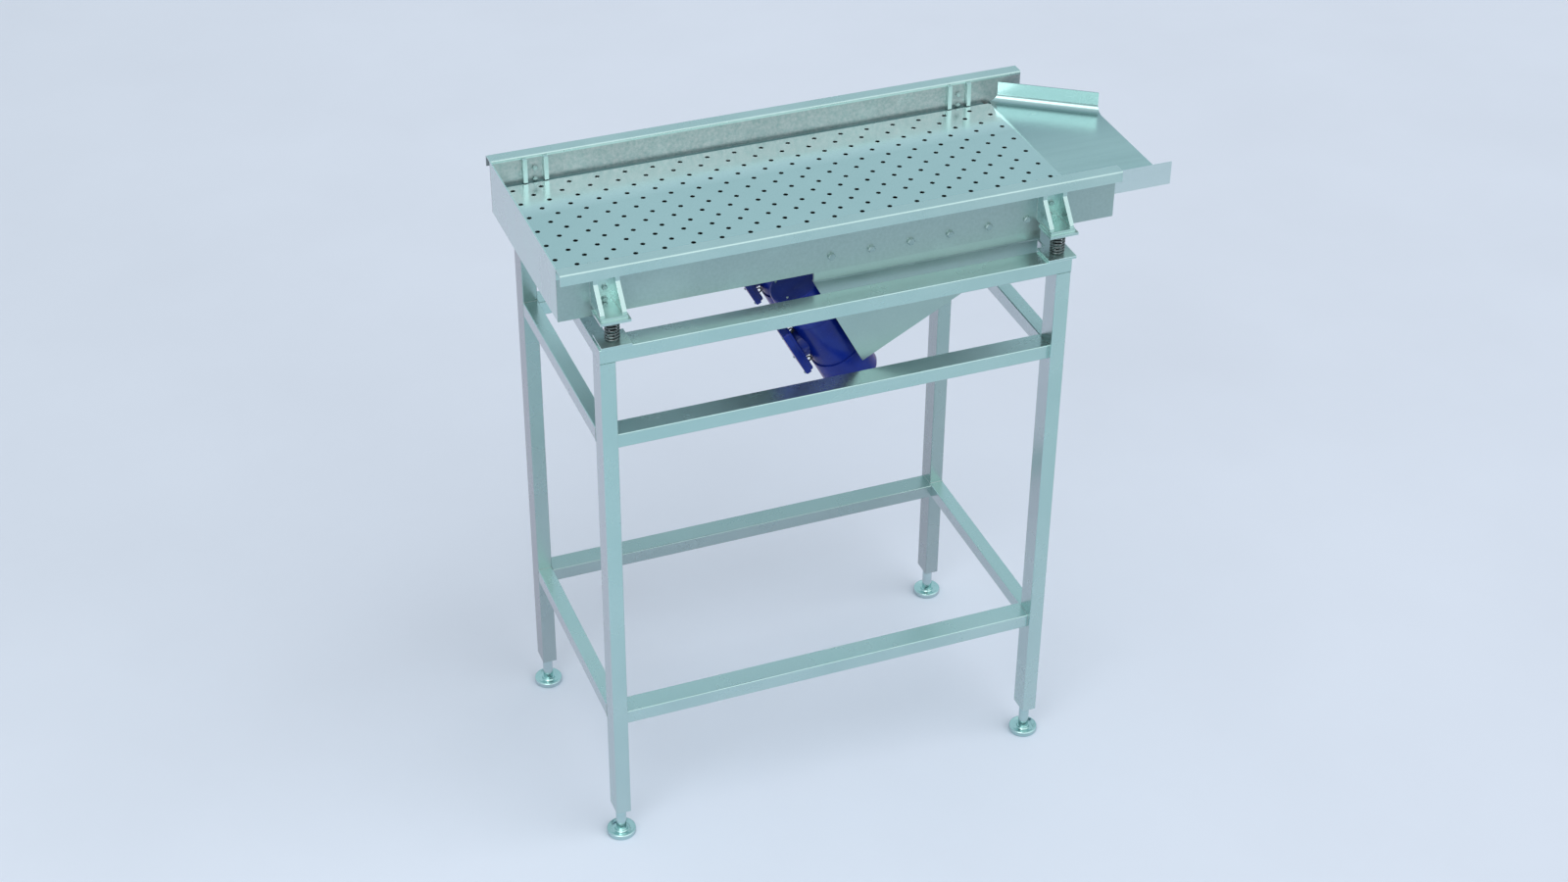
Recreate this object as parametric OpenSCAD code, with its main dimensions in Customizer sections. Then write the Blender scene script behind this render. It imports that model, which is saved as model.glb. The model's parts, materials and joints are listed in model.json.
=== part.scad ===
// Linear vibratory feeder: a perforated tray on four coil springs, thrown forward
// and up by two out-of-balance motors, on a tall stand of welded tube.
// Millimetres. X is the way the product travels, Y is across the tray, Z is up.
// The origin is on the floor, below the centre of the whole machine's box.

/* [Stand] */
// Length over the legs
stand_length = 1240; // [1000:10:1800]
// Width over the legs
stand_width = 740; // [600:10:1000]
// Length of each leg tube
leg_height = 1430; // [900:10:1600]
// Leg tube along the stand
leg_x = 40; // [35:1:60]
// Leg tube across the stand
leg_y = 60; // [50:1:80]
// Height of every rail tube
rail_h = 40; // [30:1:60]
// Wall of all tubes
tube_wall = 3; // [2:0.5:4]
// Outer corner radius of the tubes
tube_corner = 3; // [1:0.5:4]
// Underside of the middle rails above the leg bottoms
middle_rail_z = 1173; // [500:1:1250]
// Underside of the lower rails above the leg bottoms
lower_rail_z = 296; // [100:1:450]
// Middle and lower long rails stand back from the leg faces by this much
rail_setback = 13; // [0:1:20]

/* [Levelling feet] */
// Leg bottoms above the floor
foot_lift = 92; // [70:1:120]
// Diameter of the bell foot
foot_d = 79; // [60:1:100]
// Height of the foot's round edge
foot_edge = 16; // [10:1:20]
// Diameter of the stem
stem_d = 28; // [20:1:28]
// Length of stem above the leg bottom
stem_grip = 62; // [55:1:90]
// Height of the leg insert that guides the stem
insert_h = 50; // [30:1:60]
// Radial play of the stem in its insert
stem_play = 0.05; // [0.02:0.01:0.1]

/* [Springs] */
// Seat plate along the stand
seat_x = 77; // [60:1:90]
// Seat plate across the stand
seat_y = 70; // [60:1:80]
// Thickness of the seat plate
seat_t = 8; // [5:1:12]
// Spring axis inwards from the stand's end
seat_inset = 35.5; // [30:0.5:60]
// All springs and brackets shifted towards the discharge end
seat_shift = 6.5; // [0:0.5:10]
// Outer diameter of the spring
spring_d = 38; // [30:1:50]
// Wire of the spring
wire_d = 5; // [3:0.5:6]
// Height of the spring between its seats
spring_h = 60; // [45:1:90]
// Working coils
coils = 5.5; // [4:0.5:6]
// Height of the spigot inside the spring
spigot_h = 14; // [8:1:18]
// Gap between spigot and coils
spigot_gap = 1; // [0.5:0.5:2]
// Diameter of the short pin below the cap plate
cap_pin_d = 16; // [10:1:18]

/* [Spring brackets] */
// Thickness of the cap plate and of the shoe on it
cap_t = 7; // [5:1:10]
// Width of the bracket over its gussets
bracket_w = 66; // [50:1:80]
// Thickness of a gusset
gusset_t = 11; // [6:1:14]
// Gusset toe inwards from the stand's face
gusset_toe = 12; // [8:1:20]
// Gusset shoulder inwards from the stand's face
gusset_shoulder = 60; // [59:1:75]
// Height of the gusset shoulder above the shoe
shoulder_h = 62; // [40:1:80]
// Reach of the gusset tabs inside the trough
tab_reach = 13; // [5:1:14]
// Thickness of the back plate, lower part
back_t = 6; // [4:1:8]
// Thickness of the back plate, upper part
back_step_t = 8; // [6:1:10]

/* [Trough] */
// End wall outwards from the stand's end
trough_overhang = 73; // [40:1:120]
// Side walls past the stand at the discharge end
trough_past = 153; // [100:1:250]
// Height of the side walls
trough_h = 146; // [120:1:200]
// Trough above the stand
trough_clear = 44; // [20:1:60]
// Side wall inwards from the stand's face
wall_inset = 88; // [80:1:120]
// Sheet of the trough, deck and chute
sheet_t = 3; // [2:0.5:4]
// Inner radius of the folds
fold_r = 2; // [1:0.5:4]
// Width of the outward flange
flange_w = 34.5; // [25:0.5:45]
// Height of the lip that hangs from the flange
lip_h = 30; // [15:1:35]

/* [Deck] */
// Perforated deck past the stand at the discharge end
deck_past = 66; // [50:1:120]
// Deck below the top of the trough
deck_depth = 73; // [50:1:90]
// Gap along each side of the deck
deck_gap = 14; // [6:1:18]
// Diameter of the perforations
hole_d = 12.5; // [6:0.5:20]
// Pitch of the perforations along the deck
hole_pitch = 74; // [50:0.1:120]
// Pitch of the rows across the deck
row_pitch = 72.4; // [50:0.1:120]
// Shift of the second pattern along the deck
hole_shift = 44; // [20:1:50]
// First perforation from the end wall
hole_start = 42; // [30:1:80]
// First row from the deck's front edge
row_start = 34.6; // [20:0.1:60]
// Bar height between the deck and the fines pan
ledge_h = 15.5; // [10:0.5:30]
// How far the bars along the walls reach under the deck
ledge_lap = 8; // [5:1:12]
// Sheet of the fines pan
pan_t = 2.5; // [1.5:0.5:4]

/* [Discharge chute] */
// Reach past the trough
chute_reach = 159; // [60:1:300]
// How far the back side closes in over the chute's length
chute_taper = 145; // [50:1:250]
// Length of the chute before its back side closes in
chute_lead = 32; // [0:1:60]
// Height of the chute's sides above its floor
chute_side_h = 55.5; // [40:0.5:65]
// Depth of the front side below the floor
chute_hem = 4; // [2:0.5:8]
// Inner radius of the wide roll along the back side
chute_roll = 22; // [10:1:30]
// Step down from deck to chute
chute_drop = 4.5; // [4.5:0.5:6]

/* [Drive] */
// Angle of the throw above the horizontal
throw_angle = 28; // [20:1:35]
// Cheek plates start this far from the trough's end wall
cheek_start = 653; // [500:1:900]
// Gap from the end of the cheek's flange strip to the discharge brackets' bolts
cheek_gap = 18; // [17:1:40]
// Flange strip below the trough
cheek_show = 28; // [20:1:40]
// Depth of the cheek's end below the flange strip
cheek_hem = 50; // [20:1:60]
// Length of the cheek's steep edge
cheek_edge = 301; // [299:1:340]
// Thickness of the cheeks
cheek_t = 6; // [5:1:8]
// Bolts in each cheek's row
cheek_bolt_count = 6; // [4:1:8]
// Gap between each motor's covers and its cheek
motor_gap = 9.5; // [5:0.5:30]
// Motor axis out from the cheek's steep edge
motor_u = 32; // [20:1:40]
// Middle of the motor along the steep edge
motor_v = 211; // [205:1:220]
// Motor body radius
body_r = 69; // [60:1:70]
// Motor body length with its bearing flanges
body_l = 144; // [144:1:170]
// End cover radius
cover_r = 72.5; // [70:0.5:76]
// End cover length
cover_l = 100; // [80:1:110]
// Foot plane from the motor axis
foot_plane = 77; // [76:1:90]
// Shaft radius at the bearings
shaft_r = 15; // [12:1:16]
// Radial play of the shaft in its bearings
shaft_play = 0.03; // [0.02:0.01:0.08]

/* [Hidden] */
$fn = 40;
trough_length = trough_overhang + stand_length + trough_past;
total_length = trough_length + chute_reach;
trough_left = -total_length / 2;
trough_right = trough_left + trough_length;
stand_left = trough_left + trough_overhang;
stand_mid = stand_left + stand_length / 2;
stand_front = -stand_width / 2;
leg_top = foot_lift + leg_height;
stand_top = leg_top + rail_h;
seat_top = stand_top + seat_t;
cap_z = seat_top + spring_h;
shoe_z = cap_z + cap_t;
gusset_z = shoe_z + cap_t;
trough_z = stand_top + trough_clear;
trough_top = trough_z + trough_h;
wall_y = stand_front + wall_inset;
inner_y = wall_y + sheet_t;
fold_out = fold_r + sheet_t;
deck_top = trough_top - deck_depth;
deck_z = deck_top - sheet_t;
deck_x = trough_left + sheet_t;
deck_length = trough_overhang + stand_length + deck_past - sheet_t;
deck_end = deck_x + deck_length;
deck_nose = 14;
ledge_w = deck_gap + ledge_lap;
rib_t = 5;
rib_columns = [4, 9, 14];
pan_top = deck_z - ledge_h;
pan_short = 13;
spring_r = (spring_d - wire_d) / 2;
seat_y_mid = stand_front + leg_y / 2;
play = 0.3;              // gap between solids that move past each other
hole_play = 0.3;         // radial room of a bolt in its hole
thread_play = 0.05;      // radial room of a bolt in its nut

// bolts: [shank diameter, across flats, head height, nut height]
m8 = [8, 13, 5.3, 6];
m10 = [10, 17, 6.4, 8];
m12 = [12, 18, 7.5, 10];

// spring bracket
tab_top = trough_top - sheet_t - 3;
tab_z = deck_top + 2;
gusset_mid = (bracket_w - gusset_t) / 2;
back_w = bracket_w - 2 * gusset_t;
back_top = tab_top - 8;
bracket_bolt_z = [gusset_z + 7, deck_top + 5, deck_top + 36];
back_step_z = bracket_bolt_z[0] + 12;
bolt_tip = 1.3;

// drive
cheek_x = trough_left + cheek_start;
cheek_z = trough_z - cheek_show;
cheek_length = stand_left + stand_length - seat_inset + seat_shift - cheek_gap - cheek_x;
cheek_top = pan_top - pan_t - 1;
joggle_r = 3;
cheek_y = inner_y + joggle_r * 2 + cheek_t;
plate_t = 12;
plate_half = -(cheek_y + cheek_t);
motor_y = plate_half - motor_gap - cover_r;
plate_v0 = 27;
plate_v1 = cheek_edge - 4;
cheek_bolt_start = 43;
cheek_bolt_pitch = (cheek_length - 2 * cheek_bolt_start) / (cheek_bolt_count - 1);
cheek_bolt_z = trough_z + 40;
washer_t = 2;
washer_r = 10;
housing_half = body_l / 2 - 8;
bore_r = 52;
bearing_r = 31;
bearing_w = 16;
core_r = 43.5;
core_half = 32;
weight_r = 58;
weight_l = 40;
box_x = -body_r - 20;
box_size = [146, 92, 8];
box_z = 8;
lid_t = 5;
lid_step = 2;
neck_d = 55;
neck_z = -11.5;
neck_bore = 38;
gland_x = box_x + 14;
eye_z = [-57, 50];
foot_half = [74, 62];
foot_block = 44;
foot_bolts = [60, 45];
foot_flange = 15;
eye_r = 6.6;
eye_wire = 2;
eye_shank = 3;
gland_r = 8;
gland_nut = [22, 6];

steel = [0.62, 0.76, 0.78];
bright = [0.72, 0.84, 0.85];
black = [0.08, 0.08, 0.09];
blue = [0.10, 0.18, 0.52];
plain = [0.55, 0.56, 0.58];

// ---------- shared shapes ----------

// rectangle with rounded corners, about its centre
module rounded_rect(w, h, r) {
    square([w - 2 * r, h], center = true);
    square([w, h - 2 * r], center = true);
    for (x = [-1, 1], y = [-1, 1])
        translate([x * (w / 2 - r), y * (h / 2 - r)]) circle(r);
}

// section of a rectangular tube, about its centre
module tube_section(w, h) {
    difference() {
        rounded_rect(w, h, tube_corner);
        square([w - 2 * tube_wall, h - 2 * tube_wall], center = true);
    }
}

// quarter of a ring in the quadrant (sx, sy): the section of a fold
module fold(r_in, t, sx, sy) {
    difference() {
        intersection() {
            circle(r_in + t);
            translate([sx > 0 ? 0 : -r_in - t, sy > 0 ? 0 : -r_in - t]) square(r_in + t);
        }
        circle(r_in);
    }
}

// carries a drawing in (y, z) along x, from x = 0 to the length
module along_x(length) {
    rotate([90, 0, 90]) linear_extrude(length) children();
}

// carries a drawing in (x, z) across y, centred, over the width
module across_y(width) {
    translate([0, width / 2, 0]) rotate([90, 0, 0]) linear_extrude(width) children();
}

// a thing drawn at the front, at sx = -1 (left) or 1 (right) and front or back
module at_corner(sx, back, inset) {
    translate([stand_mid + sx * (stand_length / 2 - inset), 0, 0])
        rotate([0, 0, back ? 180 : 0]) children();
}

// a thing drawn at the front, at one of the four springs
module at_spring(sx, back) {
    translate([seat_shift, 0, 0]) at_corner(sx, back, seat_inset) children();
}

// hexagon prism along +z from z = 0
module hexagon(flats, height) {
    cylinder(r = flats / 2 / cos(30), h = height, $fn = 6);
}

// bolt whose head is seated at z = 0, with its shank towards +z
module bolt(size, length) {
    translate([0, 0, -size[2]]) hexagon(size[1], size[2]);
    cylinder(d = size[0], h = length);
}

// nut from z = 0 to its height
module nut(size) {
    difference() {
        hexagon(size[1], size[3]);
        translate([0, 0, -1]) cylinder(r = size[0] / 2 + thread_play, h = size[3] + 2);
    }
}

// room for a bolt along +z
module bolt_room(size, length) {
    cylinder(r = size[0] / 2 + hole_play, h = length);
}

// ---------- stand ----------

module leg(sx, back) {
    color(steel) at_corner(sx, back, leg_x / 2)
        translate([0, stand_front + leg_y / 2, foot_lift])
            linear_extrude(leg_height) tube_section(leg_x, leg_y);
}

// long rail over the leg tops, with its ends capped
module long_top_rail(back) {
    color(steel) translate([stand_mid, 0, leg_top + rail_h / 2]) rotate([0, 0, back ? 180 : 0])
        translate([-stand_length / 2, stand_front + leg_y / 2, 0]) {
            along_x(stand_length) tube_section(leg_y, rail_h);
            for (x = [0, stand_length - tube_wall])
                translate([x, 0, 0]) along_x(tube_wall) rounded_rect(leg_y, rail_h, tube_corner);
        }
}

// long rail between the legs
module long_rail(back, z) {
    color(steel) translate([stand_mid, 0, foot_lift + z + rail_h / 2]) rotate([0, 0, back ? 180 : 0])
        translate([leg_x - stand_length / 2, stand_front + rail_setback + leg_y / 2, 0])
            along_x(stand_length - 2 * leg_x) tube_section(leg_y, rail_h);
}

// short rail between the front and back legs
module short_rail(sx, z) {
    color(steel) translate([stand_mid + sx * (stand_length - leg_x) / 2, 0, z + rail_h / 2])
        across_y(stand_width - 2 * leg_y) tube_section(leg_x, rail_h);
}

// block in the bottom of each leg, bored for the stem
module leg_inserts() {
    color(plain) for (sx = [-1, 1], back = [false, true])
        at_corner(sx, back, leg_x / 2) translate([0, stand_front + leg_y / 2, foot_lift])
            difference() {
                translate([-leg_x / 2 + tube_wall, -leg_y / 2 + tube_wall, 0])
                    cube([leg_x - 2 * tube_wall, leg_y - 2 * tube_wall, insert_h]);
                translate([0, 0, -1]) cylinder(r = stem_d / 2 + stem_play, h = insert_h + 2);
            }
}

// turned bell foot and stem
module foot(sx, back) {
    r = foot_d / 2;
    edge = 4;
    tip = 2;
    neck = foot_edge + 19;
    top = foot_lift + stem_grip;
    color(bright) at_corner(sx, back, leg_x / 2) translate([0, stand_front + leg_y / 2, 0])
        rotate_extrude() {
            square([r - edge, edge]);
            translate([0, edge]) square([r, foot_edge - edge]);
            intersection() {
                translate([r - edge, edge]) circle(edge);
                translate([r - edge, 0]) square(edge);
            }
            polygon([
                [0, foot_edge], [r, foot_edge], [r - 3, foot_edge + 2.5], [r - 7, foot_edge + 3],
                [stem_d / 2 + 6, neck - 4], [stem_d / 2 + 3, neck], [0, neck]
            ]);
            translate([0, neck]) square([stem_d / 2, top - neck - tip]);
            polygon([[0, top - tip], [stem_d / 2, top - tip], [stem_d / 2 - tip, top], [0, top]]);
        }
}

// ---------- springs and brackets ----------

// seat plate with the spigot that centres the spring
module spring_seat(sx, back) {
    spigot_r = spring_r - wire_d / 2 - spigot_gap;
    tip = 3;
    color(steel) at_spring(sx, back) translate([0, seat_y_mid, stand_top]) {
        translate([-seat_x / 2, -seat_y / 2, 0]) cube([seat_x, seat_y, seat_t]);
        translate([0, 0, seat_t]) rotate_extrude()
            polygon([
                [0, 0], [spigot_r, 0], [spigot_r, spigot_h - tip], [spigot_r - tip, spigot_h], [0, spigot_h]
            ]);
    }
}

// height of the wire's centre after some turns: close end coils, open working coils
function coil_rise(turn) =
    let (dead = wire_d + 0.3, low = wire_d / 4, open = spring_h - play - 2 * low - 2 * dead)
    turn < 1 ? low + turn * dead :
    turn > 1 + coils ? low + dead + open + (turn - 1 - coils) * dead :
    low + dead + (turn - 1) / coils * open;

// coil spring, its end coils ground flat
module spring(sx, back) {
    steps = 18;
    sides = 7;
    count = round((coils + 2) * steps);
    rings = [for (i = [0:count], j = [0:sides - 1])
        let (a = 360 * i / steps, b = 360 * j / sides, r = spring_r + wire_d / 2 * cos(b))
        [r * cos(a), r * sin(a), coil_rise(i / steps) + wire_d / 2 * sin(b)]];
    skin = [for (i = [0:count - 1], j = [0:sides - 1])
        let (k = (j + 1) % sides)
        [i * sides + j, i * sides + k, (i + 1) * sides + k, (i + 1) * sides + j]];
    ends = [[for (j = [0:sides - 1]) sides - 1 - j], [for (j = [0:sides - 1]) count * sides + j]];
    color(black) at_spring(sx, back) translate([0, seat_y_mid, seat_top])
        intersection() {
            polyhedron(rings, [for (f = concat(skin, ends)) [for (n = [len(f) - 1:-1:0]) f[n]]],
                       convexity = 10);
            translate([-spring_d, -spring_d, 0]) cube([2 * spring_d, 2 * spring_d, spring_h - play]);
        }
}

// side view of a gusset, with the tab that passes through the trough's wall
module gusset_shape() {
    polygon([
        [stand_front + gusset_toe, gusset_z],
        [stand_front + gusset_toe, gusset_z + 5],
        [stand_front + gusset_shoulder, gusset_z + shoulder_h],
        [stand_front + gusset_shoulder, tab_top],
        [inner_y + tab_reach, tab_top],
        [inner_y + tab_reach, tab_z],
        [wall_y, tab_z],
        [wall_y, gusset_z]
    ]);
}

// cap plate, shoe, two gussets and stepped back plate, welded into one bracket
module bracket(sx, back) {
    color(steel) at_spring(sx, back) difference() {
        union() {
            translate([-seat_x / 2, seat_y_mid - seat_y / 2, cap_z]) cube([seat_x, seat_y, cap_t]);
            translate([-bracket_w / 2, seat_y_mid - seat_y / 2 + 9, shoe_z])
                cube([bracket_w, wall_y - seat_y_mid + seat_y / 2 - 9, cap_t]);
            translate([0, seat_y_mid, cap_z - spigot_h + 3]) cylinder(d = cap_pin_d, h = spigot_h - 2);
            for (x = [-1, 1])
                translate([x * gusset_mid - gusset_t / 2, 0, 0]) along_x(gusset_t) gusset_shape();
            translate([-back_w / 2, wall_y - back_t, gusset_z]) cube([back_w, back_t, back_top - gusset_z]);
            translate([-back_w / 2, wall_y - back_step_t, back_step_z])
                cube([back_w, back_step_t, back_top - back_step_z]);
        }
        for (z = bracket_bolt_z)
            translate([0, wall_y - back_step_t - 1, z]) rotate([-90, 0, 0]) bolt_room(m8, back_step_t + 2);
    }
}

module bracket_bolts() {
    color(bright) for (sx = [-1, 1], back = [false, true], k = [0:2])
        at_spring(sx, back) translate([0, 0, bracket_bolt_z[k]]) {
            plate = k == 0 ? back_t : back_step_t;
            translate([0, wall_y - plate, 0]) rotate([-90, 0, 0])
                bolt(m8, plate + sheet_t + m8[3] + bolt_tip);
            translate([0, inner_y, 0]) rotate([-90, 0, 0]) nut(m8);
        }
}

// ---------- trough ----------

// section of the front wall: upright, outward flange and hanging lip
module wall_section() {
    lip_y = wall_y - flange_w;
    flange_z = trough_top - sheet_t;
    translate([wall_y, trough_z]) square([sheet_t, trough_h - fold_out]);
    translate([wall_y - fold_r, trough_top - fold_out]) fold(fold_r, sheet_t, 1, 1);
    translate([lip_y + fold_out, flange_z]) square([flange_w - fold_out - fold_r, sheet_t]);
    translate([lip_y + fold_out, trough_top - fold_out]) fold(fold_r, sheet_t, -1, 1);
    translate([lip_y, trough_top - lip_h]) square([sheet_t, lip_h - fold_out]);
}

// front wall with its slots and bolt holes
module trough_side() {
    color(steel) difference() {
        translate([trough_left, 0, 0]) along_x(trough_length) wall_section();
        for (sx = [-1, 1]) at_spring(sx, false) {
            for (x = [-1, 1])
                translate([x * gusset_mid - gusset_t / 2 - hole_play, wall_y - 1, tab_z - hole_play])
                    cube([gusset_t + 2 * hole_play, sheet_t + 2, tab_top - tab_z + 2 * hole_play]);
            for (z = bracket_bolt_z)
                translate([0, wall_y - 1, z]) rotate([-90, 0, 0]) bolt_room(m8, sheet_t + 2);
        }
        at_cheek_bolts() translate([0, wall_y - 1, 0]) rotate([-90, 0, 0]) bolt_room(m10, sheet_t + 2);
    }
}

module trough_end_wall() {
    color(steel) translate([trough_left, inner_y, trough_z]) cube([sheet_t, -2 * inner_y, trough_h]);
}

// shallow pan that leads the fines to the discharge end
module fines_pan() {
    color(steel) translate([deck_x, inner_y, pan_top - pan_t])
        cube([trough_length - sheet_t - pan_short, -2 * inner_y, pan_t]);
}

// places of the perforations: two patterns, each shifted half a row from the other
function hole_columns(shift) = floor((deck_length - hole_start - shift - hole_d - deck_nose) / hole_pitch);
function hole_rows(shift) = floor((-2 * inner_y - 2 * deck_gap - row_start - shift - hole_d) / row_pitch);

module perforations() {
    for (second = [0, 1])
        for (i = [0:hole_columns(second * hole_shift)], j = [0:hole_rows(row_pitch / 2)])
            translate([deck_x + hole_start + second * hole_shift + i * hole_pitch,
                       inner_y + deck_gap + row_start + (1 - second) * row_pitch / 2 + j * row_pitch])
                circle(d = hole_d, $fn = 16);
}

// flat perforated plate whose last strip is bent down onto the chute
module perforated_deck() {
    width = -2 * (inner_y + deck_gap);
    color(steel) {
        translate([0, 0, deck_z]) linear_extrude(sheet_t) difference() {
            translate([deck_x, -width / 2]) square([deck_length - deck_nose, width]);
            perforations();
        }
        translate([deck_end, 0, deck_top]) across_y(width)
            polygon([
                [-deck_nose, 0], [0, play - chute_drop],
                [0, play - chute_drop - sheet_t], [-deck_nose, -sheet_t]
            ]);
    }
}

// bars between deck and pan: two along the walls, three across, one below the chute's edge
module deck_ledges() {
    sill = 36;
    half = -inner_y;
    color(steel) {
        for (y = [-half, half - ledge_w])
            translate([deck_x, y, pan_top]) cube([deck_length - deck_nose - 6, ledge_w, ledge_h]);
        for (k = rib_columns)
            translate([deck_x + hole_start + k * hole_pitch + hole_shift / 2 - rib_t / 2,
                       ledge_w - half, deck_z - ledge_h / 2])
                cube([rib_t, 2 * (half - ledge_w), ledge_h / 2]);
        translate([deck_end - 6, sheet_t - half, deck_top - chute_drop - sheet_t - rib_t])
            cube([sill, 2 * half - sheet_t, rib_t]);
    }
}

// one folded sheet: floor, upright front side, back side that closes in on a wide roll
module discharge_chute() {
    floor_z = deck_top - chute_drop - sheet_t;
    start = deck_end + play;
    length = trough_right + chute_reach - start;
    turn = atan2(chute_taper, length - chute_lead);
    slant = length / cos(turn);
    roll_out = chute_roll + sheet_t;
    back_y = -inner_y - sheet_t;
    lap = 1;
    edge_y = back_y - roll_out / cos(turn) + lap;
    color(steel) intersection() {
        union() {
            // front side, and the floor welded to it
            translate([start, inner_y, floor_z - chute_hem])
                cube([length, sheet_t, chute_hem + sheet_t + chute_side_h]);
            translate([start, 0, floor_z]) linear_extrude(sheet_t) polygon([
                [0, inner_y],
                [0, edge_y + chute_lead * tan(turn)],
                [length, edge_y - chute_taper],
                [length, inner_y]
            ]);
            // back side with its roll, set along the slant
            translate([start + chute_lead, back_y, 0]) rotate([0, 0, -turn]) translate([-slant / 4, 0, 0])
                along_x(1.5 * slant) {
                    translate([-roll_out, floor_z + roll_out]) fold(chute_roll, sheet_t, 1, -1);
                    translate([-sheet_t, floor_z + roll_out])
                        square([sheet_t, chute_side_h + sheet_t - roll_out]);
                }
        }
        translate([start, inner_y, 0]) cube([length, -2 * inner_y, 2 * trough_top]);
    }
}

// ---------- drive ----------

// the row of bolts that holds a cheek to its wall
module at_cheek_bolts() {
    for (k = [0:cheek_bolt_count - 1])
        translate([cheek_x + cheek_bolt_start + k * cheek_bolt_pitch, 0, cheek_bolt_z]) children();
}

// front cheek: flange strip, joggle and the plate that tapers along and across the throw
module motor_cheek() {
    fold_d = joggle_r + cheek_t;
    tip = cheek_edge * [sin(throw_angle), -cos(throw_angle)];
    hem_x = tip[0] - (tip[1] + cheek_hem) / tan(throw_angle);
    color(steel) difference() {
        intersection() {
            translate([cheek_x, 0, 0]) along_x(cheek_length) {
                translate([inner_y, cheek_z + joggle_r]) square([cheek_t, cheek_top - cheek_z - joggle_r]);
                translate([inner_y + fold_d, cheek_z + joggle_r]) fold(joggle_r, cheek_t, -1, -1);
                translate([inner_y + fold_d, cheek_z - fold_d]) fold(joggle_r, cheek_t, 1, 1);
                translate([cheek_y, cheek_z - fold_d - cheek_edge]) square([cheek_t, cheek_edge]);
            }
            translate([cheek_x, 0, cheek_z]) across_y(-2 * inner_y) polygon([
                [0, cheek_top - cheek_z], [0, 0], tip,
                [hem_x, -cheek_hem], [cheek_length, -cheek_hem],
                [cheek_length, cheek_top - cheek_z]
            ]);
        }
        at_cheek_bolts() translate([0, inner_y - 1, 0]) rotate([-90, 0, 0]) bolt_room(m10, cheek_t + 2);
    }
}

module cheek_bolts() {
    grip = sheet_t + cheek_t;
    color(bright) for (back = [0, 1]) mirror([0, back, 0])
        at_cheek_bolts() translate([0, wall_y, 0]) rotate([-90, 0, 0]) {
            translate([0, 0, -washer_t]) {
                bolt(m10, grip + washer_t + m10[3] + 2);
                cylinder(r = washer_r, h = washer_t);
            }
            translate([0, 0, grip]) nut(m10);
        }
}

// the cheeks' own frame: x square to the steep edge, z up along it
module at_edge() {
    translate([cheek_x, 0, cheek_z]) rotate([0, -throw_angle, 0]) children();
}

// a motor's own frame: z is its axis, x points at the mounting plate
module at_motor(y) {
    at_edge() translate([-motor_u, y, -motor_v]) children();
}

module at_motor_bolts() {
    for (y = [-1, 1], z = [-1, 1])
        translate([foot_plane, y * foot_bolts[0], z * foot_bolts[1]]) rotate([0, 90, 0]) children();
}

module motor_plate() {
    color(steel) difference() {
        at_edge() translate([foot_plane - motor_u, -plate_half, -plate_v1])
            cube([plate_t, 2 * plate_half, plate_v1 - plate_v0]);
        for (y = [-motor_y, motor_y])
            at_motor(y) at_motor_bolts() translate([0, 0, -1]) bolt_room(m12, plate_t + 2);
    }
}

// bolts from the motor feet through the plate, with their nuts behind it
module motor_bolts() {
    color(bright) for (y = [-motor_y, motor_y]) at_motor(y) at_motor_bolts() {
        translate([0, 0, -foot_flange]) bolt(m12, foot_flange + plate_t + m12[3] + 3);
        translate([0, 0, plate_t]) nut(m12);
    }
}

// cast housing: barrel, feet, terminal neck and terminal base
module motor_housing(y) {
    color(blue) at_motor(y) difference() {
        union() {
            cylinder(r = body_r, h = 2 * housing_half, center = true, $fn = 72);
            translate([foot_plane - foot_flange, -foot_half[0], -foot_half[1]])
                cube([foot_flange, 2 * foot_half[0], 2 * foot_half[1]]);
            translate([bore_r / 2, -foot_block, -foot_half[1]])
                cube([foot_plane - foot_flange / 2 - bore_r / 2, 2 * foot_block, 2 * foot_half[1]]);
            translate([box_x - 1, 0, neck_z]) rotate([0, 90, 0]) cylinder(d = neck_d, h = body_r / 2);
            translate([box_x - box_size[2], 0, box_z]) rotate([0, 90, 0])
                linear_extrude(box_size[2]) rounded_rect(box_size[0], box_size[1], 8);
        }
        cylinder(r = bore_r, h = 2 * housing_half + 2, center = true, $fn = 72);
        translate([box_x - box_size[2] - 1, 0, neck_z]) rotate([0, 90, 0])
            cylinder(d = neck_bore, h = body_r);
        at_motor_bolts() translate([0, 0, -foot_flange - 5]) bolt_room(m12, foot_flange + 7);
        for (z = eye_z) translate([-body_r - 1, 0, z]) rotate([0, 90, 0])
            cylinder(r = eye_shank + thread_play, h = 9);
        translate([gland_x, 0, neck_z]) rotate([-90, 0, 0])
            cylinder(r = gland_r + thread_play, h = neck_d);
    }
}

// lid of the terminal base, rounded over its edge
module terminal_lids() {
    color(blue) for (y = [-motor_y, motor_y]) at_motor(y)
        translate([box_x - box_size[2], 0, box_z]) rotate([0, -90, 0]) {
            linear_extrude(lid_t) rounded_rect(box_size[0], box_size[1], 8);
            translate([0, 0, lid_t]) linear_extrude(lid_step)
                rounded_rect(box_size[0] - 2 * lid_step, box_size[1] - 2 * lid_step, 6);
        }
}

// deep cup over the weights at one end
module end_covers(y) {
    color(blue) at_motor(y) for (s = [-1, 1]) scale_end(s)
        translate([0, 0, body_l / 2]) rotate_extrude($fn = 72) {
            polygon([
                [body_r - 3, 0], [cover_r, 0], [cover_r, cover_l - 8], [cover_r - 2.3, cover_l - 2.3],
                [cover_r - 8, cover_l], [0, cover_l], [0, cover_l - 3.5], [cover_r - 9, cover_l - 3.5],
                [cover_r - 3.5, cover_l - 9], [cover_r - 3.5, 4], [body_r - 3, 4]
            ]);
        }
}

// turns a thing drawn at the +z end of the motor to either end
module scale_end(s) {
    rotate([s > 0 ? 0 : 180, 0, 0]) children();
}

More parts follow.
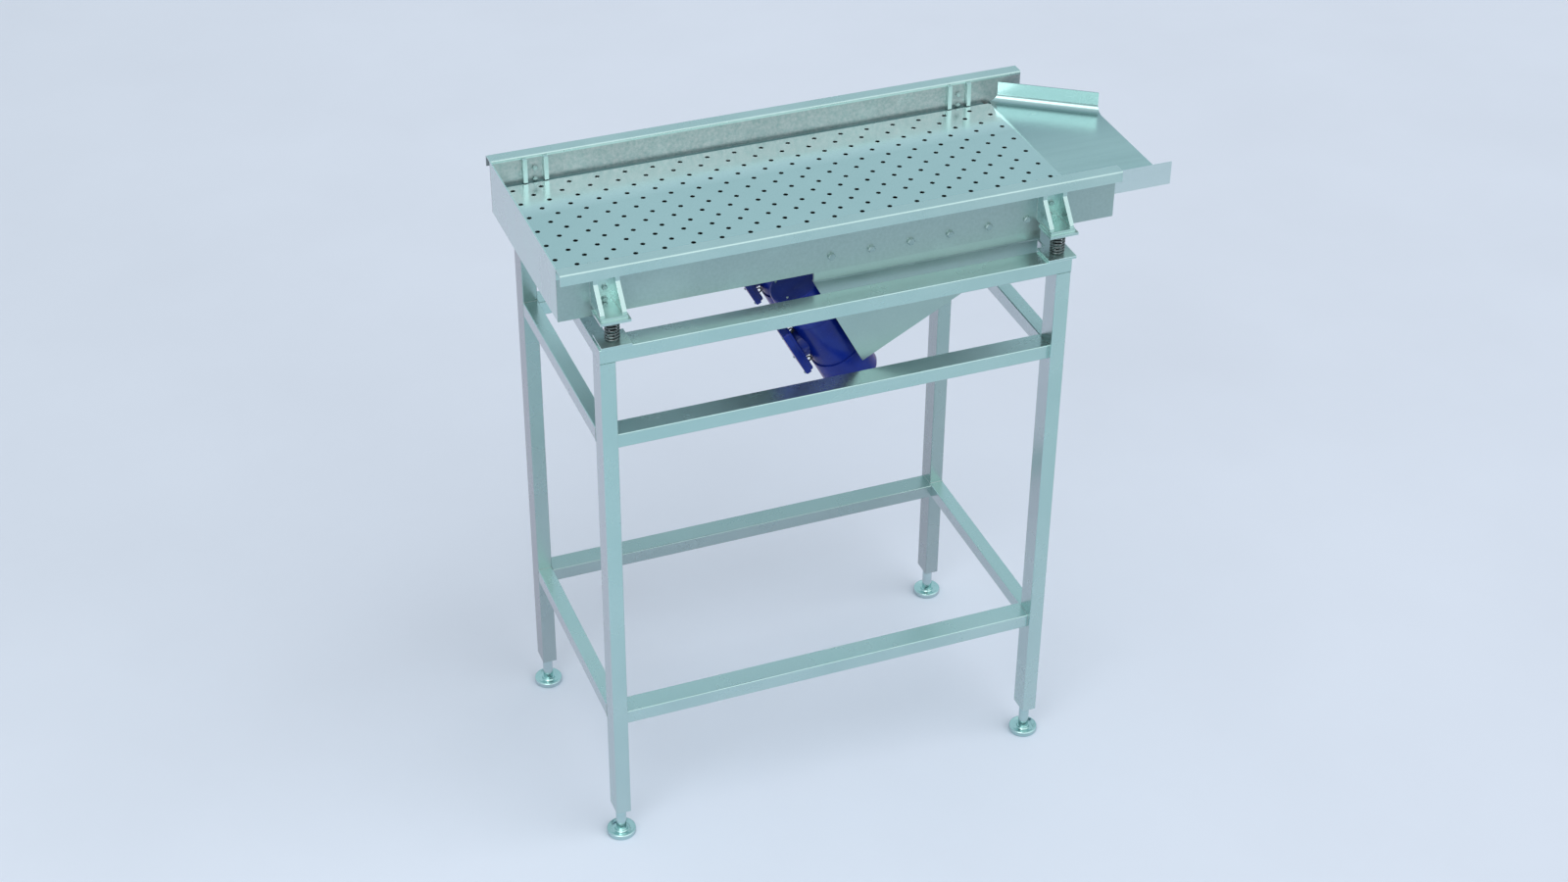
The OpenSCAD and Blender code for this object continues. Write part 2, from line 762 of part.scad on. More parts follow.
module bearing_flanges() {
    h = body_l / 2;
    b = housing_half - bearing_w;
    color(blue) for (y = [-motor_y, motor_y], s = [-1, 1]) at_motor(y) scale_end(s)
        rotate_extrude($fn = 72) polygon([
            [shaft_r + 2.5, h], [body_r, h], [body_r, housing_half], [bore_r - 0.05, housing_half],
            [bore_r - 0.05, housing_half - 6], [bearing_r + 8, housing_half - 6],
            [bearing_r + 8, b - 2], [bearing_r, b - 2], [bearing_r, housing_half],
            [shaft_r + 2.5, housing_half]
        ]);
}

module motor_bearings() {
    color(bright) for (y = [-motor_y, motor_y], s = [-1, 1]) at_motor(y) scale_end(s)
        translate([0, 0, housing_half - bearing_w]) rotate_extrude() difference() {
            translate([shaft_r + shaft_play, 0]) square([bearing_r - shaft_r - shaft_play, bearing_w]);
            for (z = [0, bearing_w]) translate([(bearing_r + shaft_r) / 2 - 2.5, z - 1]) square([5, 2]);
        }
}

// laminated core with the end turns of its winding
module stator_cores() {
    color(plain) for (y = [-motor_y, motor_y]) at_motor(y) rotate_extrude($fn = 72) {
        translate([core_r + 1, -core_half]) square([bore_r - core_r - 1.05, 2 * core_half]);
        translate([core_r + 2, -core_half - 8]) square([5, 2 * core_half + 16]);
    }
}

module rotor_shaft(y) {
    half = body_l / 2 + 12 + weight_l + 10;
    color(plain) at_motor(y) rotate_extrude($fn = 72) polygon([
        [0, -half], [shaft_r - 2, -half], [shaft_r, -half + 2], [shaft_r, -core_half - 6],
        [shaft_r + 4, -core_half - 6], [shaft_r + 4, -core_half], [core_r, -core_half],
        [core_r, core_half], [shaft_r + 4, core_half], [shaft_r + 4, core_half + 6],
        [shaft_r, core_half + 6], [shaft_r, half - 2], [shaft_r - 2, half], [0, half]
    ]);
}

// half-disc weights clamped on both shaft ends, hanging away from the mounting plate
module eccentric_weights(y) {
    color(plain) at_motor(y) for (s = [-1, 1])
        translate([0, 0, s * (body_l / 2 + 12 + weight_l / 2) - weight_l / 2])
            linear_extrude(weight_l) difference() {
                union() {
                    intersection() {
                        circle(weight_r, $fn = 72);
                        translate([-weight_r, -weight_r]) square([weight_r, 2 * weight_r]);
                    }
                    circle(shaft_r + 11);
                }
                circle(shaft_r + 0.02, $fn = 72);
            }
}

// gland in the terminal neck, closed by its own seal
module cable_glands() {
    color(black) for (y = [-motor_y, motor_y]) at_motor(y)
        translate([gland_x, 0, neck_z]) rotate([-90, 0, 0]) {
            translate([0, 0, neck_bore / 2 + 1]) cylinder(r = gland_r, h = 12);
            translate([0, 0, neck_d / 2 + 0.5]) hexagon(gland_nut[0], gland_nut[1]);
            translate([0, 0, neck_d / 2 + 6.5]) difference() {
                cylinder(r = gland_r + 2, h = 12);
                translate([0, 0, 6]) cylinder(r = gland_r / 2, h = 8);
            }
        }
}

// eye rings on the back of the motor body
module lifting_eyes() {
    color(black) for (y = [-motor_y, motor_y], z = eye_z) at_motor(y) translate([0, 0, z]) {
        translate([-body_r - eye_r - eye_wire + 0.8, 0, 0]) rotate([90, 0, 0])
            rotate_extrude() translate([eye_r, 0]) circle(eye_wire, $fn = 24);
        translate([-body_r - 1.5, 0, 0]) rotate([0, 90, 0]) cylinder(r = eye_shank, h = 8);
    }
}

leg(-1, false);  // leg_front_left
leg(1, false);  // leg_front_right
leg(-1, true);  // leg_back_left
leg(1, true);  // leg_back_right
long_top_rail(false);  // top_rail_front
long_top_rail(true);  // top_rail_back
short_rail(-1, leg_top);  // top_rail_left
short_rail(1, leg_top);  // top_rail_right
long_rail(false, middle_rail_z);  // middle_rail_front
long_rail(true, middle_rail_z);  // middle_rail_back
short_rail(-1, foot_lift + middle_rail_z);  // middle_rail_left
short_rail(1, foot_lift + middle_rail_z);  // middle_rail_right
long_rail(false, lower_rail_z);  // lower_rail_front
long_rail(true, lower_rail_z);  // lower_rail_back
short_rail(-1, foot_lift + lower_rail_z);  // lower_rail_left
short_rail(1, foot_lift + lower_rail_z);  // lower_rail_right
leg_inserts();
foot(-1, false);  // foot_front_left
foot(1, false);  // foot_front_right
foot(-1, true);  // foot_back_left
foot(1, true);  // foot_back_right
spring_seat(-1, false);  // spring_seat_front_left
spring_seat(1, false);  // spring_seat_front_right
spring_seat(-1, true);  // spring_seat_back_left
spring_seat(1, true);  // spring_seat_back_right
spring(-1, false);  // spring_front_left
spring(1, false);  // spring_front_right
spring(-1, true);  // spring_back_left
spring(1, true);  // spring_back_right
bracket(-1, false);  // bracket_front_left
bracket(1, false);  // bracket_front_right
bracket(-1, true);  // bracket_back_left
bracket(1, true);  // bracket_back_right
trough_side();  // trough_side_front
mirror([0, 1, 0]) trough_side();  // trough_side_back
trough_end_wall();
fines_pan();
perforated_deck();
deck_ledges();
discharge_chute();
bracket_bolts();
cheek_bolts();
motor_cheek();  // motor_cheek_front
mirror([0, 1, 0]) motor_cheek();  // motor_cheek_back
motor_plate();
motor_housing(-motor_y);  // motor_housing_front
motor_housing(motor_y);  // motor_housing_back
end_covers(-motor_y);  // end_covers_front
end_covers(motor_y);  // end_covers_back
bearing_flanges();
terminal_lids();
stator_cores();
motor_bearings();
rotor_shaft(-motor_y);  // rotor_shaft_front
rotor_shaft(motor_y);  // rotor_shaft_back
eccentric_weights(-motor_y);  // eccentric_weights_front
eccentric_weights(motor_y);  // eccentric_weights_back
motor_bolts();
cable_glands();
lifting_eyes();
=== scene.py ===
import json
import math

import bmesh
import bpy
from mathutils import Matrix, Vector


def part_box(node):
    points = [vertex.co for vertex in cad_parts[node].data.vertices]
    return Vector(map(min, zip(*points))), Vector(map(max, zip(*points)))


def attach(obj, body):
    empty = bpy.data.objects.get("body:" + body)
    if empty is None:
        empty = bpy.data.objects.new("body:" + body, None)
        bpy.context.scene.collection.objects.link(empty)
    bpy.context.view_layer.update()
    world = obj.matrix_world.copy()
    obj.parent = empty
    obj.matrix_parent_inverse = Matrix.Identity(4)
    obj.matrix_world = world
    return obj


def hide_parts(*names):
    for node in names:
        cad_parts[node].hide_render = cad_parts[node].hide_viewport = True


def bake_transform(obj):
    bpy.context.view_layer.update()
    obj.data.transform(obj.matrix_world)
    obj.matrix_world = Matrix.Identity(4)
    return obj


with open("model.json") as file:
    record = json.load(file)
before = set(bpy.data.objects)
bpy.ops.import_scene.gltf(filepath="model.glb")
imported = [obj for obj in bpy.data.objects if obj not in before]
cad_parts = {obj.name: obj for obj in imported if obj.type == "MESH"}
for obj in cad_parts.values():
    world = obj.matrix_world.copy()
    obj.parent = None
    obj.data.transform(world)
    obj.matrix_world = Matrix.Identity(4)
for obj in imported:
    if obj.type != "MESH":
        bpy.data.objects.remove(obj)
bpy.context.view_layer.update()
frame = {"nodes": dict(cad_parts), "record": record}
nodes = frame["nodes"]
sides = ("front", "back")
ends = ("left", "right")
corners = [(side, end) for side in sides for end in ends]
print("frame loaded:", len(nodes), "nodes")


def placeObject(name, data):
    placed = bpy.data.objects.new(name, data)
    bpy.context.collection.objects.link(placed)
    return placed


cameraSet = {
    "place": (-2.2187, -5.3303, 4.8518),
    "look": (0.30147, 0.76725, -0.56607),
    "across": (0.93267, -0.36064, 0.00791),
    "lens": 59.55,
}


def makeCamera(values):
    data = bpy.data.cameras.new("camera")
    data.lens = values["lens"]
    data.sensor_width = 36
    data.clip_end = 200
    look = Vector(values["look"]).normalized()
    across = Vector(values["across"]).normalized()
    up = across.cross(look).normalized()
    turn = Matrix((look.cross(up), up, -look)).transposed().to_4x4()
    camera = placeObject("camera", data)
    camera.matrix_world = Matrix.Translation(values["place"]) @ turn
    bpy.context.scene.camera = camera


makeCamera(cameraSet)
bpy.context.scene.view_settings.view_transform = "Standard"
print("camera set")


def addNode(tree, kind, **settings):
    node = tree.nodes.new(kind)
    for name, value in settings.items():
        setattr(node, name, value)
    return node


def feedSocket(tree, socket, value):
    # a socket is linked, any other value is set
    if isinstance(value, bpy.types.NodeSocket):
        tree.links.new(value, socket)
    else:
        socket.default_value = value


def feed(tree, node, **values):
    for name, value in values.items():
        feedSocket(tree, node.inputs[name.replace("_", " ")], value)
    return node


def made(tree, kind, **values):
    # a new node's first output, with its inputs fed
    return feed(tree, addNode(tree, kind), **values).outputs[0]


def inOrder(tree, node, *values):
    for socket, value in zip(node.inputs, values):
        feedSocket(tree, socket, value)
    return node.outputs[0]


def mathNode(tree, operation, first, second=0.0, third=0.0, clamp=False):
    node = addNode(tree, "ShaderNodeMath", operation=operation, use_clamp=clamp)
    return inOrder(tree, node, first, second, third)


def plus(tree, first, second):
    return mathNode(tree, "ADD", first, second)


def minus(tree, first, second):
    return mathNode(tree, "SUBTRACT", first, second)


def times(tree, first, second):
    return mathNode(tree, "MULTIPLY", first, second)


def vectorNode(tree, operation, first, second):
    return inOrder(tree, addNode(tree, "ShaderNodeVectorMath", operation=operation), first, second)


def ramp(tree, value, low, high, toLow=0.0, toHigh=1.0):
    return made(tree, "ShaderNodeMapRange", Value=value, From_Min=low, From_Max=high, To_Min=toLow, To_Max=toHigh)


def mixColour(tree, factor, first, second):
    node = addNode(tree, "ShaderNodeMix", data_type="RGBA")
    for index, value in ((0, factor), (6, first), (7, second)):
        feedSocket(tree, node.inputs[index], value)
    return node.outputs[2]


def splitVector(tree, vector):
    return feed(tree, addNode(tree, "ShaderNodeSeparateXYZ"), Vector=vector).outputs


def joinVector(tree, x=0.0, y=0.0, z=0.0):
    return made(tree, "ShaderNodeCombineXYZ", X=x, Y=y, Z=z)


def rgba(colour, gain=1.0):
    return (*[min(1.0, part * gain) for part in colour], 1.0)


socketKinds = {float: "NodeSocketFloat", int: "NodeSocketInt", bool: "NodeSocketBool", tuple: "NodeSocketVector"}


def newGroup(kind, name, inputs, outputs, outKind="NodeSocketFloat"):
    # each input is a label with its default, or with its kind of socket where it has none
    tree = bpy.data.node_groups.new(name, kind)
    for label, default in inputs.items():
        socketKind = socketKinds.get(type(default), default)
        socket = tree.interface.new_socket(label, in_out="INPUT", socket_type=socketKind)
        if socketKind != default:
            socket.default_value = default
    for label in outputs:
        tree.interface.new_socket(label, in_out="OUTPUT", socket_type=outKind)
    return tree, addNode(tree, "NodeGroupInput").outputs, addNode(tree, "NodeGroupOutput")


def placeGroup(tree, group, **values):
    return feed(tree, addNode(tree, "ShaderNodeGroup", node_tree=group), **values).outputs


def objectPlace(tree):
    return addNode(tree, "ShaderNodeTexCoord").outputs["Object"]


def noise(tree, place, scale, detail, rough):
    node = addNode(tree, "ShaderNodeTexNoise")
    return feed(tree, node, Vector=place, Scale=scale, Detail=detail, Roughness=rough).outputs["Fac"]


# surface effects shared by the materials

def buildSatinGrain():
    # fine speckle and soft clouds, as on bead-blasted stainless sheet
    tree, given, result = newGroup("ShaderNodeTree", "satinGrain", {"Cloud Scale": 3.0, "Grain Scale": 260.0},
                                   ["Clouds", "Grain", "Height"])
    place = objectPlace(tree)
    clouds = noise(tree, place, given["Cloud Scale"], 4.0, 0.55)
    grain = noise(tree, place, given["Grain Scale"], 3.0, 0.7)
    tooth = noise(tree, place, times(tree, given["Grain Scale"], 3.1), 2.0, 0.6)
    height = plus(tree, times(tree, grain, 0.6), times(tree, tooth, 0.4))
    feed(tree, result, Clouds=ramp(tree, clouds, 0.32, 0.68), Grain=ramp(tree, grain, 0.3, 0.7), Height=height)
    return tree


def buildBrushLines():
    # long thin lines: the stretch says how the brushing runs
    tree, given, result = newGroup("ShaderNodeTree", "brushLines", {"Stretch": (4.0, 500.0, 500.0)},
                                   ["Lines", "Streaks"])
    scaled = vectorNode(tree, "MULTIPLY", objectPlace(tree), given["Stretch"])
    lines = noise(tree, scaled, 1.0, 3.0, 0.65)
    broad = noise(tree, scaled, 0.12, 2.0, 0.5)
    feed(tree, result, Lines=ramp(tree, lines, 0.35, 0.65), Streaks=ramp(tree, broad, 0.35, 0.65))
    return tree


def buildScuffs():
    # straight faint scratches in two directions, kept to scattered patches
    tree, given, result = newGroup("ShaderNodeTree", "scuffs", {"Scale": 9.0, "Amount": 0.4}, ["Mask"])
    place = objectPlace(tree)
    marks = None
    for turn, length in (((0.05, 0.04, 0.22), (1.0, 0.035, 0.05)), ((-0.06, 0.08, 1.15), (1.0, 0.03, 0.06))):
        mapping = feed(tree, addNode(tree, "ShaderNodeMapping", vector_type="TEXTURE"), Vector=place, Rotation=turn,
                       Scale=length)
        wave = noise(tree, mapping.outputs[0], given["Scale"], 1.0, 0.5)
        thin = ramp(tree, mathNode(tree, "ABSOLUTE", minus(tree, wave, 0.5)), 0.0, 0.03, 1.0, 0.0)
        marks = thin if marks is None else mathNode(tree, "MAXIMUM", marks, thin)
    patches = noise(tree, place, 6.0, 2.0, 0.5)
    edge = minus(tree, 0.75, times(tree, given["Amount"], 0.3))
    feed(tree, result, Mask=times(tree, marks, ramp(tree, patches, edge, 0.8)))
    return tree


def buildSettledDustAndShade():
    # what settles on faces that look up: dust, fines or damp; the fines pan uses the same mask to lay painted shade
    tree, given, result = newGroup("ShaderNodeTree", "settledDustAndShade", {"Amount": 0.2, "Scale": 22.0}, ["Mask"])
    normal = addNode(tree, "ShaderNodeNewGeometry").outputs["Normal"]
    up = ramp(tree, splitVector(tree, normal)["Z"], 0.3, 1.0)
    patch = ramp(tree, noise(tree, objectPlace(tree), given["Scale"], 5.0, 0.65), 0.35, 0.75)
    feed(tree, result, Mask=times(tree, times(tree, up, patch), given["Amount"]))
    return tree


def buildMottledShade():
    # coarse speckled mottling with painted shade: below a given height the sheet turns darker, and the folded rim
    # above keeps its colour
    tree, given, result = newGroup("ShaderNodeTree", "mottledShade", {"Scale": 90.0, "Top": 1.745},
                                   ["Mask", "Speckle"])
    place = objectPlace(tree)
    coarse = noise(tree, place, given["Scale"], 6.0, 0.75)
    broad = noise(tree, place, 4.0, 3.0, 0.6)
    # painted shade: the mask falls to nothing above the top
    below = ramp(tree, splitVector(tree, place)["Z"], minus(tree, given["Top"], 0.002), given["Top"], 1.0, 0.0)
    feed(tree, result, Mask=times(tree, below, ramp(tree, broad, 0.2, 0.5, 0.6, 1.0)),
         Speckle=ramp(tree, coarse, 0.33, 0.67))
    return tree


satinGrain = buildSatinGrain()
brushLines = buildBrushLines()
scuffs = buildScuffs()
settledDustAndShade = buildSettledDustAndShade()
mottledShade = buildMottledShade()
print("surface effects built")


# what most sheet shares, and what each finish changes: base and deep are the two ends of the colour,
# rough is the range of roughness, bands are painted light and shade across the part, along its y
commonSheet = {"base": (0.575, 0.725, 0.705), "deep": (0.48, 0.64, 0.62), "metal": 0.92, "rough": (0.24, 0.34),
               "cloud": 7.0, "grain": 150.0, "bump": 0.16, "scuff": 0.12, "dustAndShade": 0.04}
finishes = {
    "standSatin": {"base": (0.56, 0.725, 0.705), "deep": (0.49, 0.66, 0.64), "rough": (0.22, 0.31),
                   "cloud": 5.0, "grain": 210.0, "bump": 0.10, "scuff": 0.03, "dustAndShade": 0.05},
    # painted shade: a darker copy of the stand's sheet for the back legs and back rails, which stand in the machine's
    # shade
    "standPaintedShade": {"base": (0.44, 0.565, 0.55), "deep": (0.385, 0.51, 0.495), "rough": (0.24, 0.33),
                   "cloud": 5.0, "grain": 210.0, "bump": 0.10, "scuff": 0.09, "dustAndShade": 0.05},
    "sheetSatin": {"base": (0.46, 0.58, 0.56), "deep": (0.40, 0.51, 0.495), "metal": 0.90, "rough": (0.32, 0.42),
                   "cloud": 9.0, "bump": 0.20},
    # painted shade: the front wall darker and speckled below its folded lip
    "frontSatin": {"deep": (0.50, 0.66, 0.64), "bump": 0.12, "shadedMottle": (0.43, 0.53, 0.525),
                   "shadedMottleDeep": (0.36, 0.46, 0.45), "shadeTop": 1.7225},
    "traySatin": {},
    # painted shade: the back wall darker and greyer below its folded rim
    "wallSatin": {"metal": 0.90, "shadedMottle": (0.52, 0.53, 0.53), "shadedMottleDeep": (0.29, 0.39, 0.39),
                  "shadeTop": 1.744},
    # painted reflection: the deck turns lighter towards the back wall, which mirrors bright sky into it
    "deckSatin": {"base": (0.56, 0.725, 0.705), "deep": (0.51, 0.67, 0.65), "metal": 0.95, "rough": (0.16, 0.22),
                  "cloud": 4.0, "grain": 240.0, "bump": 0.06, "scuff": 0.10, "dustAndShade": 0.0,
                  "paintedLightBands": [((0.86, 1.0, 0.99), 0.10, 0.20)]},
    # painted light: a lighter copy of the tray sheet for the end wall, for the light its side catches
    "endWallLit": {"base": (0.63, 0.86, 0.81), "deep": (0.54, 0.76, 0.72), "scuff": 0.07},
    # painted highlight: a near-white finish on the rounded edges of the spring seats and brackets
    "plateEdgeHighlight": {"base": (0.86, 1.0, 0.98), "deep": (0.76, 0.92, 0.90), "metal": 1.0, "rough": (0.22, 0.32),
                  "cloud": 30.0, "grain": 400.0, "bump": 0.04, "scuff": 0.10, "dustAndShade": 0.0},
    # painted shade: the chute turns darker towards the back, against the bright sky its rolled side mirrors; painted
    # sheen: a pale band along the front side
    "chuteSheet": {"base": (0.50, 0.65, 0.63), "deep": (0.42, 0.57, 0.55), "metal": 0.95, "rough": (0.17, 0.24),
                   "cloud": 3.0, "grain": 260.0, "bump": 0.05, "scuff": 0.16, "dustAndShade": 0.0,
                   "brush": (3.0, 420.0, 420.0),
                   "paintedLightBands": [((0.33, 0.46, 0.46), -0.05, 0.12), ((0.74, 0.80, 0.82), -0.262, -0.279)]},
    # painted shade: a near-black film on the pan's faces that look up, so the deck's holes read dark
    "panSheet": {"base": (0.50, 0.64, 0.63), "deep": (0.42, 0.56, 0.55), "metal": 0.9, "rough": (0.3, 0.4),
                 "scuff": 0.10, "dustAndShade": 6.0, "dustAndShadeFilm": (0.008, 0.024, 0.027)},
    # painted shade: the deck ledges are near black, so the gap along the deck's sides reads as a dark shadow line
    "ledgePaintedShade": {"base": (0.17, 0.30, 0.31), "deep": (0.12, 0.23, 0.24), "metal": 0.7, "rough": (0.3, 0.4),
                   "scuff": 0.10, "dustAndShade": 0.0},
    "footPolish": {"base": (0.56, 0.76, 0.74), "deep": (0.44, 0.64, 0.62), "metal": 1.0, "rough": (0.12, 0.20),
                   "cloud": 20.0, "grain": 300.0, "bump": 0.03, "scuff": 0.10, "dustAndShade": 0.08,
                   "brush": (60.0, 60.0, 900.0)},
    # painted highlight: a lighter finish on the rounded edges of stand, walls and chute
    "edgeHighlight": {"base": (0.60, 0.75, 0.73), "deep": (0.52, 0.67, 0.65), "metal": 1.0, "rough": (0.26, 0.36),
                   "cloud": 30.0, "grain": 400.0, "bump": 0.04, "scuff": 0.10, "dustAndShade": 0.0},
    "boltSteel": {"base": (0.44, 0.54, 0.53), "deep": (0.32, 0.42, 0.41), "metal": 0.95, "rough": (0.20, 0.32),
                  "cloud": 40.0, "grain": 500.0, "bump": 0.05, "scuff": 0.14, "dustAndShade": 0.1},
    "weldSteel": {"base": (0.60, 0.70, 0.68), "deep": (0.36, 0.40, 0.40), "rough": (0.25, 0.42),
                  "cloud": 120.0, "grain": 700.0, "bump": 0.2, "scuff": 0.07, "dustAndShade": 0.0},
    "plainSteel": {"base": (0.34, 0.35, 0.37), "deep": (0.22, 0.22, 0.23), "metal": 0.9, "rough": (0.35, 0.5),
                   "cloud": 20.0, "grain": 400.0, "bump": 0.1, "scuff": 0.14, "dustAndShade": 0.0},
}


def newMaterial(name):
    material = bpy.data.materials.new(name)
    material.use_nodes = True
    tree = material.node_tree
    tree.nodes.clear()
    shader = addNode(tree, "ShaderNodeBsdfPrincipled")
    feed(tree, addNode(tree, "ShaderNodeOutputMaterial"), Surface=shader.outputs[0])
    return material, tree, shader


def addBump(tree, height, strength, distance):
    return made(tree, "ShaderNodeBump", Height=height, Strength=strength, Distance=distance)


# how strongly each surface effect shows in a satin finish
satinMix = {"cloudShare": 0.6, "grainShare": 0.4, "scratchScale": 8.0, "scratchShare": 0.5, "scratchGain": 1.3,
            "streakShare": 0.18, "streakGain": 1.2, "brushHeight": 0.8, "brushRough": 0.05, "mottleScale": 110.0,
            "mottleRough": 0.12, "mottleHeight": 0.7, "bandLow": 0.7, "dustAndShadeFilm": (0.55, 0.57, 0.56),
            "filmRough": 0.4, "bumpDepth": 0.0006}


def makeSatin(name, changes):
    values = {**commonSheet, **satinMix, **changes}
    material, tree, shader = newMaterial(name)
    grain = placeGroup(tree, satinGrain, Cloud_Scale=values["cloud"], Grain_Scale=values["grain"])
    marks = placeGroup(tree, scuffs, Scale=values["scratchScale"], Amount=values["scuff"])
    dustAndShadeFilm = placeGroup(tree, settledDustAndShade, Amount=values["dustAndShade"])
    blend = plus(tree, times(tree, grain["Clouds"], values["cloudShare"]),
                 times(tree, grain["Grain"], values["grainShare"]))
    colour = mixColour(tree, blend, rgba(values["deep"]), rgba(values["base"]))
    rough = ramp(tree, grain["Clouds"], 0.0, 1.0, *values["rough"])
    height = grain["Height"]
    if "brush" in values:
        lines = placeGroup(tree, brushLines, Stretch=values["brush"])
        colour = mixColour(tree, times(tree, lines["Streaks"], values["streakShare"]), colour,
                           rgba(values["base"], values["streakGain"]))
        height = plus(tree, height, times(tree, lines["Lines"], values["brushHeight"]))
        rough = plus(tree, rough, times(tree, lines["Lines"], values["brushRough"]))
    # painted light and shade: each band blends a tone in along y
    for tone, start, full in values.get("paintedLightBands", ()):
        paintedBand = ramp(tree, splitVector(tree, objectPlace(tree))["Y"], start, full)
        paintedBand = times(tree, paintedBand, ramp(tree, grain["Grain"], 0.0, 1.0, values["bandLow"], 1.0))
        colour = mixColour(tree, paintedBand, colour, rgba(tone))
    # painted shade, with a speckle: below the given height the colour turns to the darker tones
    if "shadedMottle" in values:
        belowRimShade = placeGroup(tree, mottledShade, Scale=values["mottleScale"], Top=values["shadeTop"])
        patches = mixColour(tree, belowRimShade["Speckle"], rgba(values["shadedMottleDeep"]), rgba(values["shadedMottle"]))
        colour = mixColour(tree, belowRimShade["Mask"], colour, patches)
        rough = plus(tree, rough, times(tree, belowRimShade["Mask"], values["mottleRough"]))
        height = plus(tree, height, times(tree, belowRimShade["Speckle"], values["mottleHeight"]))
    colour = mixColour(tree, times(tree, marks["Mask"], values["scratchShare"]), colour,
                       rgba(values["base"], values["scratchGain"]))
    # a dust film on faces that look up; on the fines pan it is painted shade
    colour = mixColour(tree, mathNode(tree, "MINIMUM", dustAndShadeFilm["Mask"], 1.0), colour, rgba(values["dustAndShadeFilm"]))
    rough = mathNode(tree, "ADD", rough, times(tree, dustAndShadeFilm["Mask"], values["filmRough"]), clamp=True)
    feed(tree, shader, Base_Color=colour, Roughness=rough, Metallic=values["metal"],
         Normal=addBump(tree, height, values["bump"], values["bumpDepth"]))
    return material


materials = {name: makeSatin(name, changes) for name, changes in finishes.items()}


# paint and black finishes: worn is the colour of their scratches
commonCoat = {"cloud": 60.0, "grain": 700.0, "scratchScale": 30.0, "scuff": 0.7, "worn": (0.16, 0.16, 0.17),
              "metal": 0.0, "shine": 0.5, "bump": 0.15, "bumpDepth": 0.0003}
coats = {
    "motorPaint": {"base": (0.005, 0.024, 0.270), "deep": (0.003, 0.013, 0.160), "worn": (0.03, 0.06, 0.30),
                   "wornShare": 0.4, "rough": (0.18, 0.28), "shine": 0.30, "cloud": 9.0, "grain": 120.0,
                   "scratchScale": 16.0, "scuff": 0.4, "dustAndShade": 0.06, "dustAndShadeFilm": (0.20, 0.23, 0.30), "bump": 0.10,
                   "bumpDepth": 0.0008},
    "springBlack": {"base": (0.17, 0.19, 0.19), "deep": (0.10, 0.115, 0.115), "wornShare": 1.0,
                    "rough": (0.16, 0.26), "metal": 0.9},
    "blackParts": {"base": (0.02, 0.02, 0.023), "deep": (0.008, 0.008, 0.01), "wornShare": 0.4,
                   "rough": (0.25, 0.4)},
}


def makeCoat(name, changes):
    values = {**commonCoat, **changes}
    material, tree, shader = newMaterial(name)
    grain = placeGroup(tree, satinGrain, Cloud_Scale=values["cloud"], Grain_Scale=values["grain"])
    marks = placeGroup(tree, scuffs, Scale=values["scratchScale"], Amount=values["scuff"])
    colour = mixColour(tree, grain["Clouds"], rgba(values["deep"]), rgba(values["base"]))
    colour = mixColour(tree, times(tree, marks["Mask"], values["wornShare"]), colour, rgba(values["worn"]))
    if "dustAndShade" in values:
        dusty = placeGroup(tree, settledDustAndShade, Amount=values["dustAndShade"])["Mask"]
        colour = mixColour(tree, dusty, colour, rgba(values["dustAndShadeFilm"]))
    feed(tree, shader, Base_Color=colour, Roughness=ramp(tree, grain["Grain"], 0.0, 1.0, *values["rough"]),
         Metallic=values["metal"], Specular_IOR_Level=values["shine"],
         Normal=addBump(tree, grain["Height"], values["bump"], values["bumpDepth"]))
    return material


materials.update({name: makeCoat(name, changes) for name, changes in coats.items()})
print("materials built:", len(materials))


# mirrored colours are what shiny surfaces see; each span says where along an axis a colour changes
studioSet = {
    # the floor's second colour is painted light, a paler floor towards +x
    "floor": (0.705, 0.79, 0.91), "floorLitRight": (0.745, 0.83, 0.96), "floorSpan": (-2.0, 1.6),
    "mirrorFront": (0.545, 0.715, 0.815), "mirrorBack": (0.746, 0.697, 0.853), "mirrorSpan": (-1.6, 0.6),
    "mirrorFade": (0.0, 2.0, 0.0, 0.12), "floorReach": 40, "floorCloud": 1.2, "floorGrain": 8.0,
    "floorShade": 0.03, "floorRough": 0.9, "floorShine": 0.1,
    "sky": (0.67, 0.75, 0.875), "skyBack": (0.53, 0.69, 0.77), "skyFront": (1.12, 1.22, 1.25),
    "skySpan": (0.1, -0.6), "fill": 0.61, "aim": (0, 0, 1.3),
    "sunPower": 1.12, "sunFrom": (0.60, -0.72, 0.90), "sunSpread": 60, "sunAway": 5.0,
    "boxPower": 50.0, "boxFrom": (-0.54, -0.60, 0.59), "boxAway": 4.5, "boxSize": (2.6, 2.6),
}


def addBackground(tree, colour, strength):
    return made(tree, "ShaderNodeBackground", Color=colour, Strength=strength)


def mixShader(tree, factor, first, second):
    return inOrder(tree, addNode(tree, "ShaderNodeMixShader"), factor, first, second)


def makeSky(values):
    world = bpy.data.worlds.new("studioSky")
    world.use_nodes = True
    tree = world.node_tree
    tree.nodes.clear()
    rays = addNode(tree, "ShaderNodeLightPath").outputs
    toFront = splitVector(tree, addNode(tree, "ShaderNodeTexCoord").outputs["Generated"])["Y"]
    mirrored = mixColour(tree, ramp(tree, toFront, *values["skySpan"]), rgba(values["skyBack"]),
                         (*values["skyFront"], 1.0))
    shown = mathNode(tree, "MAXIMUM", rays["Is Camera Ray"], rays["Is Transmission Ray"])
    surface = mixShader(tree, rays["Is Glossy Ray"], addBackground(tree, (1, 1, 1, 1), values["fill"]),
                        addBackground(tree, mirrored, 1.0))
    surface = mixShader(tree, shown, surface, addBackground(tree, rgba(values["sky"]), 1.0))
    feed(tree, addNode(tree, "ShaderNodeOutputWorld"), Surface=surface)
    bpy.context.scene.world = world


